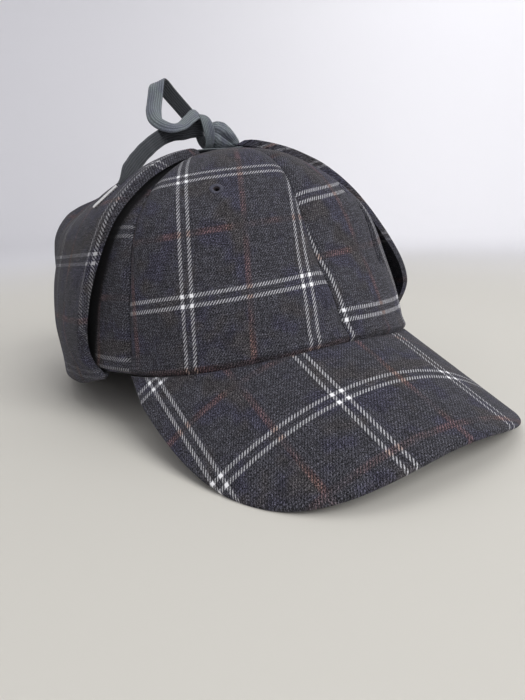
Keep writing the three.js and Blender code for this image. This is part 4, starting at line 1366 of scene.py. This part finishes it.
class CAP_OT_ear_flap(bpy.types.Operator):
    """Make the padded ear flap band with its fold under the rim and its rounded edges"""

    bl_idname = "cap.ear_flap"
    bl_label = "Ear Flap"

    half_columns = 130
    fold_rows = 22
    rise_rows = 84
    # Share of the thickness over which an edge is rounded, and the sizes that its reach is measured by
    edge_share = 0.55
    half_length = 200 * MM
    full_height = 95 * MM

    def execute(self, context):
        sizes = context.scene.cap_sizes
        form = CapForm(sizes)
        outer, inner, uv = self.band(form, sizes)
        points, faces, uv = shell(form.settled(outer), form.settled(inner), uv)
        # The copy of the cloth whose white threads are dimmed as painted shade
        material = bpy.data.materials["faded_cloth"]
        piece = new_piece("ear_flap_padded", points, faces, material, uv, crease=70)
        # Painted shade that dims the band's white threads, the more the lower they lie
        marked(piece, WHITES_SHADE, 1 - smoothstep(outer[..., 2], *FLAP_WHITES_SHADE))
        placed(piece, "cloth", "ear_flap")
        return {"FINISHED"}

    def around(self, half, height):
        """How far round a share of the band's half lies, from the back to either front edge."""
        right = smooth_through(FLAP_FRONT_HEIGHTS, FLAP_FRONT_RIGHT, height)
        left = smooth_through(FLAP_FRONT_HEIGHTS, FLAP_FRONT_LEFT, height)
        return 180 + half * (180 - np.where(half < 0, right, left))

    def rounding(self, inside, bevel):
        """Share of the thickness near an edge, round as the edge of a pad."""
        over = 1 - np.minimum(inside / bevel, 1)
        return np.sqrt(np.maximum(1 - over * over, 0.0))

    def band(self, form, sizes):
        crowding = 0.75
        share = np.linspace(0, 1, self.half_columns)
        share = share * (2 - share) * crowding + share * (1 - crowding)
        half = np.concatenate([-share[:0:-1], share])[:, None]
        fold = self.fold(form, sizes, half)
        risen = self.risen(form, sizes, half)
        outer = np.concatenate([fold[0], risen[0]], axis=1)
        inner = np.concatenate([fold[1], risen[1]], axis=1)
        return outer, inner, self.threads(outer)

    def side_rounding(self, half, sizes):
        return self.rounding((1 - np.abs(half)) * self.half_length, self.edge_share * sizes.flap_thickness)

    def fold(self, form, sizes, half):
        """The turned-up fold under the rim, which is slimmer at its right front corner."""
        corner_from, slimmer, shallower = 0.86, 0.35, 0.5
        at = np.linspace(0, len(FOLD_OUTER_UP) - 1, self.fold_rows, endpoint=False)
        rows = np.arange(len(FOLD_OUTER_UP))
        table = (FOLD_INNER_OUT, FOLD_INNER_UP, FOLD_OUTER_OUT, FOLD_OUTER_UP)
        through = [smooth_through(rows, row, at)[None] * MM for row in table]
        inner_out, inner_up, outer_out, outer_up = through
        corner = smoothstep(-half, corner_from, 1)
        outer_out = outer_out * (1 - slimmer * corner)
        outer_up = outer_up * (1 - shallower * corner)
        angle = -self.around(half, outer_up / sizes.crown_height)
        rim = np.zeros(angle.shape)
        edge = form.crown(angle, rim)
        out = level(form.crown_normal(angle, rim))
        upward = np.array([0, 0, 1.0])
        inner = edge + out * inner_out[..., None] + upward * inner_up[..., None]
        outer = edge + out * outer_out[..., None] + upward * outer_up[..., None]
        share = self.side_rounding(half, sizes)[..., None]
        middle = (outer + inner) / 2
        return middle + (outer - middle) * share, middle + (inner - middle) * share

    def risen(self, form, sizes, half):
        """The band that lies up against the crown, with soft dents in its outer face."""
        lowest, crowding = 0.03, 0.45
        deep, wide, deep_seed = 0.7 * MM, 34 * MM, 3.7
        slight, narrow, slight_seed = 0.3 * MM, 13 * MM, 9.1
        along = self.around(half, FLAP_MIDDLE_HEIGHT)
        top = smooth_through(FLAP_AROUND, FLAP_TOP, along)
        columns = (FLAP_LOW, FLAP_SHOULDER, FLAP_HIGH)
        offs = [smooth_through(FLAP_AROUND, column, along) * MM for column in columns]
        rise = np.linspace(lowest, 1, self.rise_rows)
        rise = ((1 - crowding) * rise + crowding * np.sin(rise * math.pi / 2))[None]
        height = rise * top
        angle = -self.around(half, height)
        normal = form.crown_normal(angle, height)
        gap = self.stand_off(offs, height)
        top_edge = self.rounding((1 - rise) * self.full_height, self.edge_share * sizes.flap_thickness)
        share = np.minimum(top_edge, self.side_rounding(half, sizes))
        depth = share * sizes.flap_thickness
        face = form.crown(angle, height)
        dents = deep * soft_noise(face, wide, deep_seed) + slight * soft_noise(face, narrow, slight_seed)
        inner = face + normal * gap[..., None]
        return inner + normal * (depth + dents * share)[..., None], inner

    def stand_off(self, offs, height):
        """The band's distance from the crown, through its four measured heights."""
        gap = np.zeros(height.shape)
        for column in range(height.shape[0]):
            values = [FLAP_SEAT * MM, *(float(off[column, 0]) for off in offs)]
            gap[column] = smooth_through(STAND_OFF_HEIGHTS, values, height[column])
        return gap

    def threads(self, outer):
        """Place on the cloth: round the band, from its right front edge near that and else from its
        back, and up its face."""
        white_level = 43 * MM
        edge_zone = (20 * MM, 70 * MM)
        hop = np.linalg.norm(np.diff(outer, axis=0), axis=-1)
        across = np.concatenate([np.zeros((1, outer.shape[1])), np.cumsum(hop, axis=0)])
        rise = np.linalg.norm(np.diff(outer, axis=1), axis=-1)
        run = np.concatenate([np.zeros((outer.shape[0], 1)), np.cumsum(rise, axis=1)], axis=1)
        first = self.fold_rows
        at = [np.interp(white_level, z[first:], r[first:]) for z, r in zip(outer[..., 2], run)]
        half = bpy.context.scene.cap_finish.check_repeat / 2
        edge_to_white = np.interp(outer[..., 2], FLAP_WHITE_HEIGHTS, FLAP_WHITE_OFF) * MM
        back = across[self.half_columns - 1]
        level_back = back[np.abs(outer[self.half_columns - 1, :, 2] - white_level).argmin()]
        from_back = across - back[None] + level_back
        by_edge = 1 - smoothstep(across, *edge_zone)
        round_band = (across - edge_to_white) * by_edge + from_back * (1 - by_edge)
        return np.stack([round_band * FLAP_EASE + half, run - np.array(at)[:, None] + half], axis=-1)


class CAP_PT_panel(bpy.types.Panel):
    """Lists the cap's pieces and the sizes and colours that they take"""

    bl_idname = "CAP_PT_panel"
    bl_label = "Trooper Cap"
    bl_space_type = "VIEW_3D"
    bl_region_type = "UI"
    bl_category = "Cap"

    def draw(self, context):
        for operator in MAKERS:
            self.layout.operator(operator.bl_idname)
        for group in (context.scene.cap_sizes, context.scene.cap_finish, context.scene.cap_stage):
            box = self.layout.box()
            for name in group.__annotations__:
                box.prop(group, name)


GROUPS = (CapSizes, CapFinish, StageLook)
MAKERS = (CAP_OT_stage, CAP_OT_tie, CAP_OT_crown, CAP_OT_eyelets, CAP_OT_visor, CAP_OT_ear_flap)
POINTERS = {"cap_sizes": CapSizes, "cap_finish": CapFinish, "cap_stage": StageLook}


def register():
    for kind in (*GROUPS, *MAKERS, CAP_PT_panel):
        bpy.utils.register_class(kind)
    for name, group in POINTERS.items():
        setattr(bpy.types.Scene, name, PointerProperty(type=group))


def unregister():
    for name in POINTERS:
        delattr(bpy.types.Scene, name)
    for kind in reversed((*GROUPS, *MAKERS, CAP_PT_panel)):
        bpy.utils.unregister_class(kind)


def main():
    register()
    bpy.ops.cap.stage()
    bpy.ops.cap.tie()
    bpy.ops.cap.crown()
    bpy.ops.cap.eyelets()
    bpy.ops.cap.visor()
    bpy.ops.cap.ear_flap()


if __name__ == "__main__":
    main()
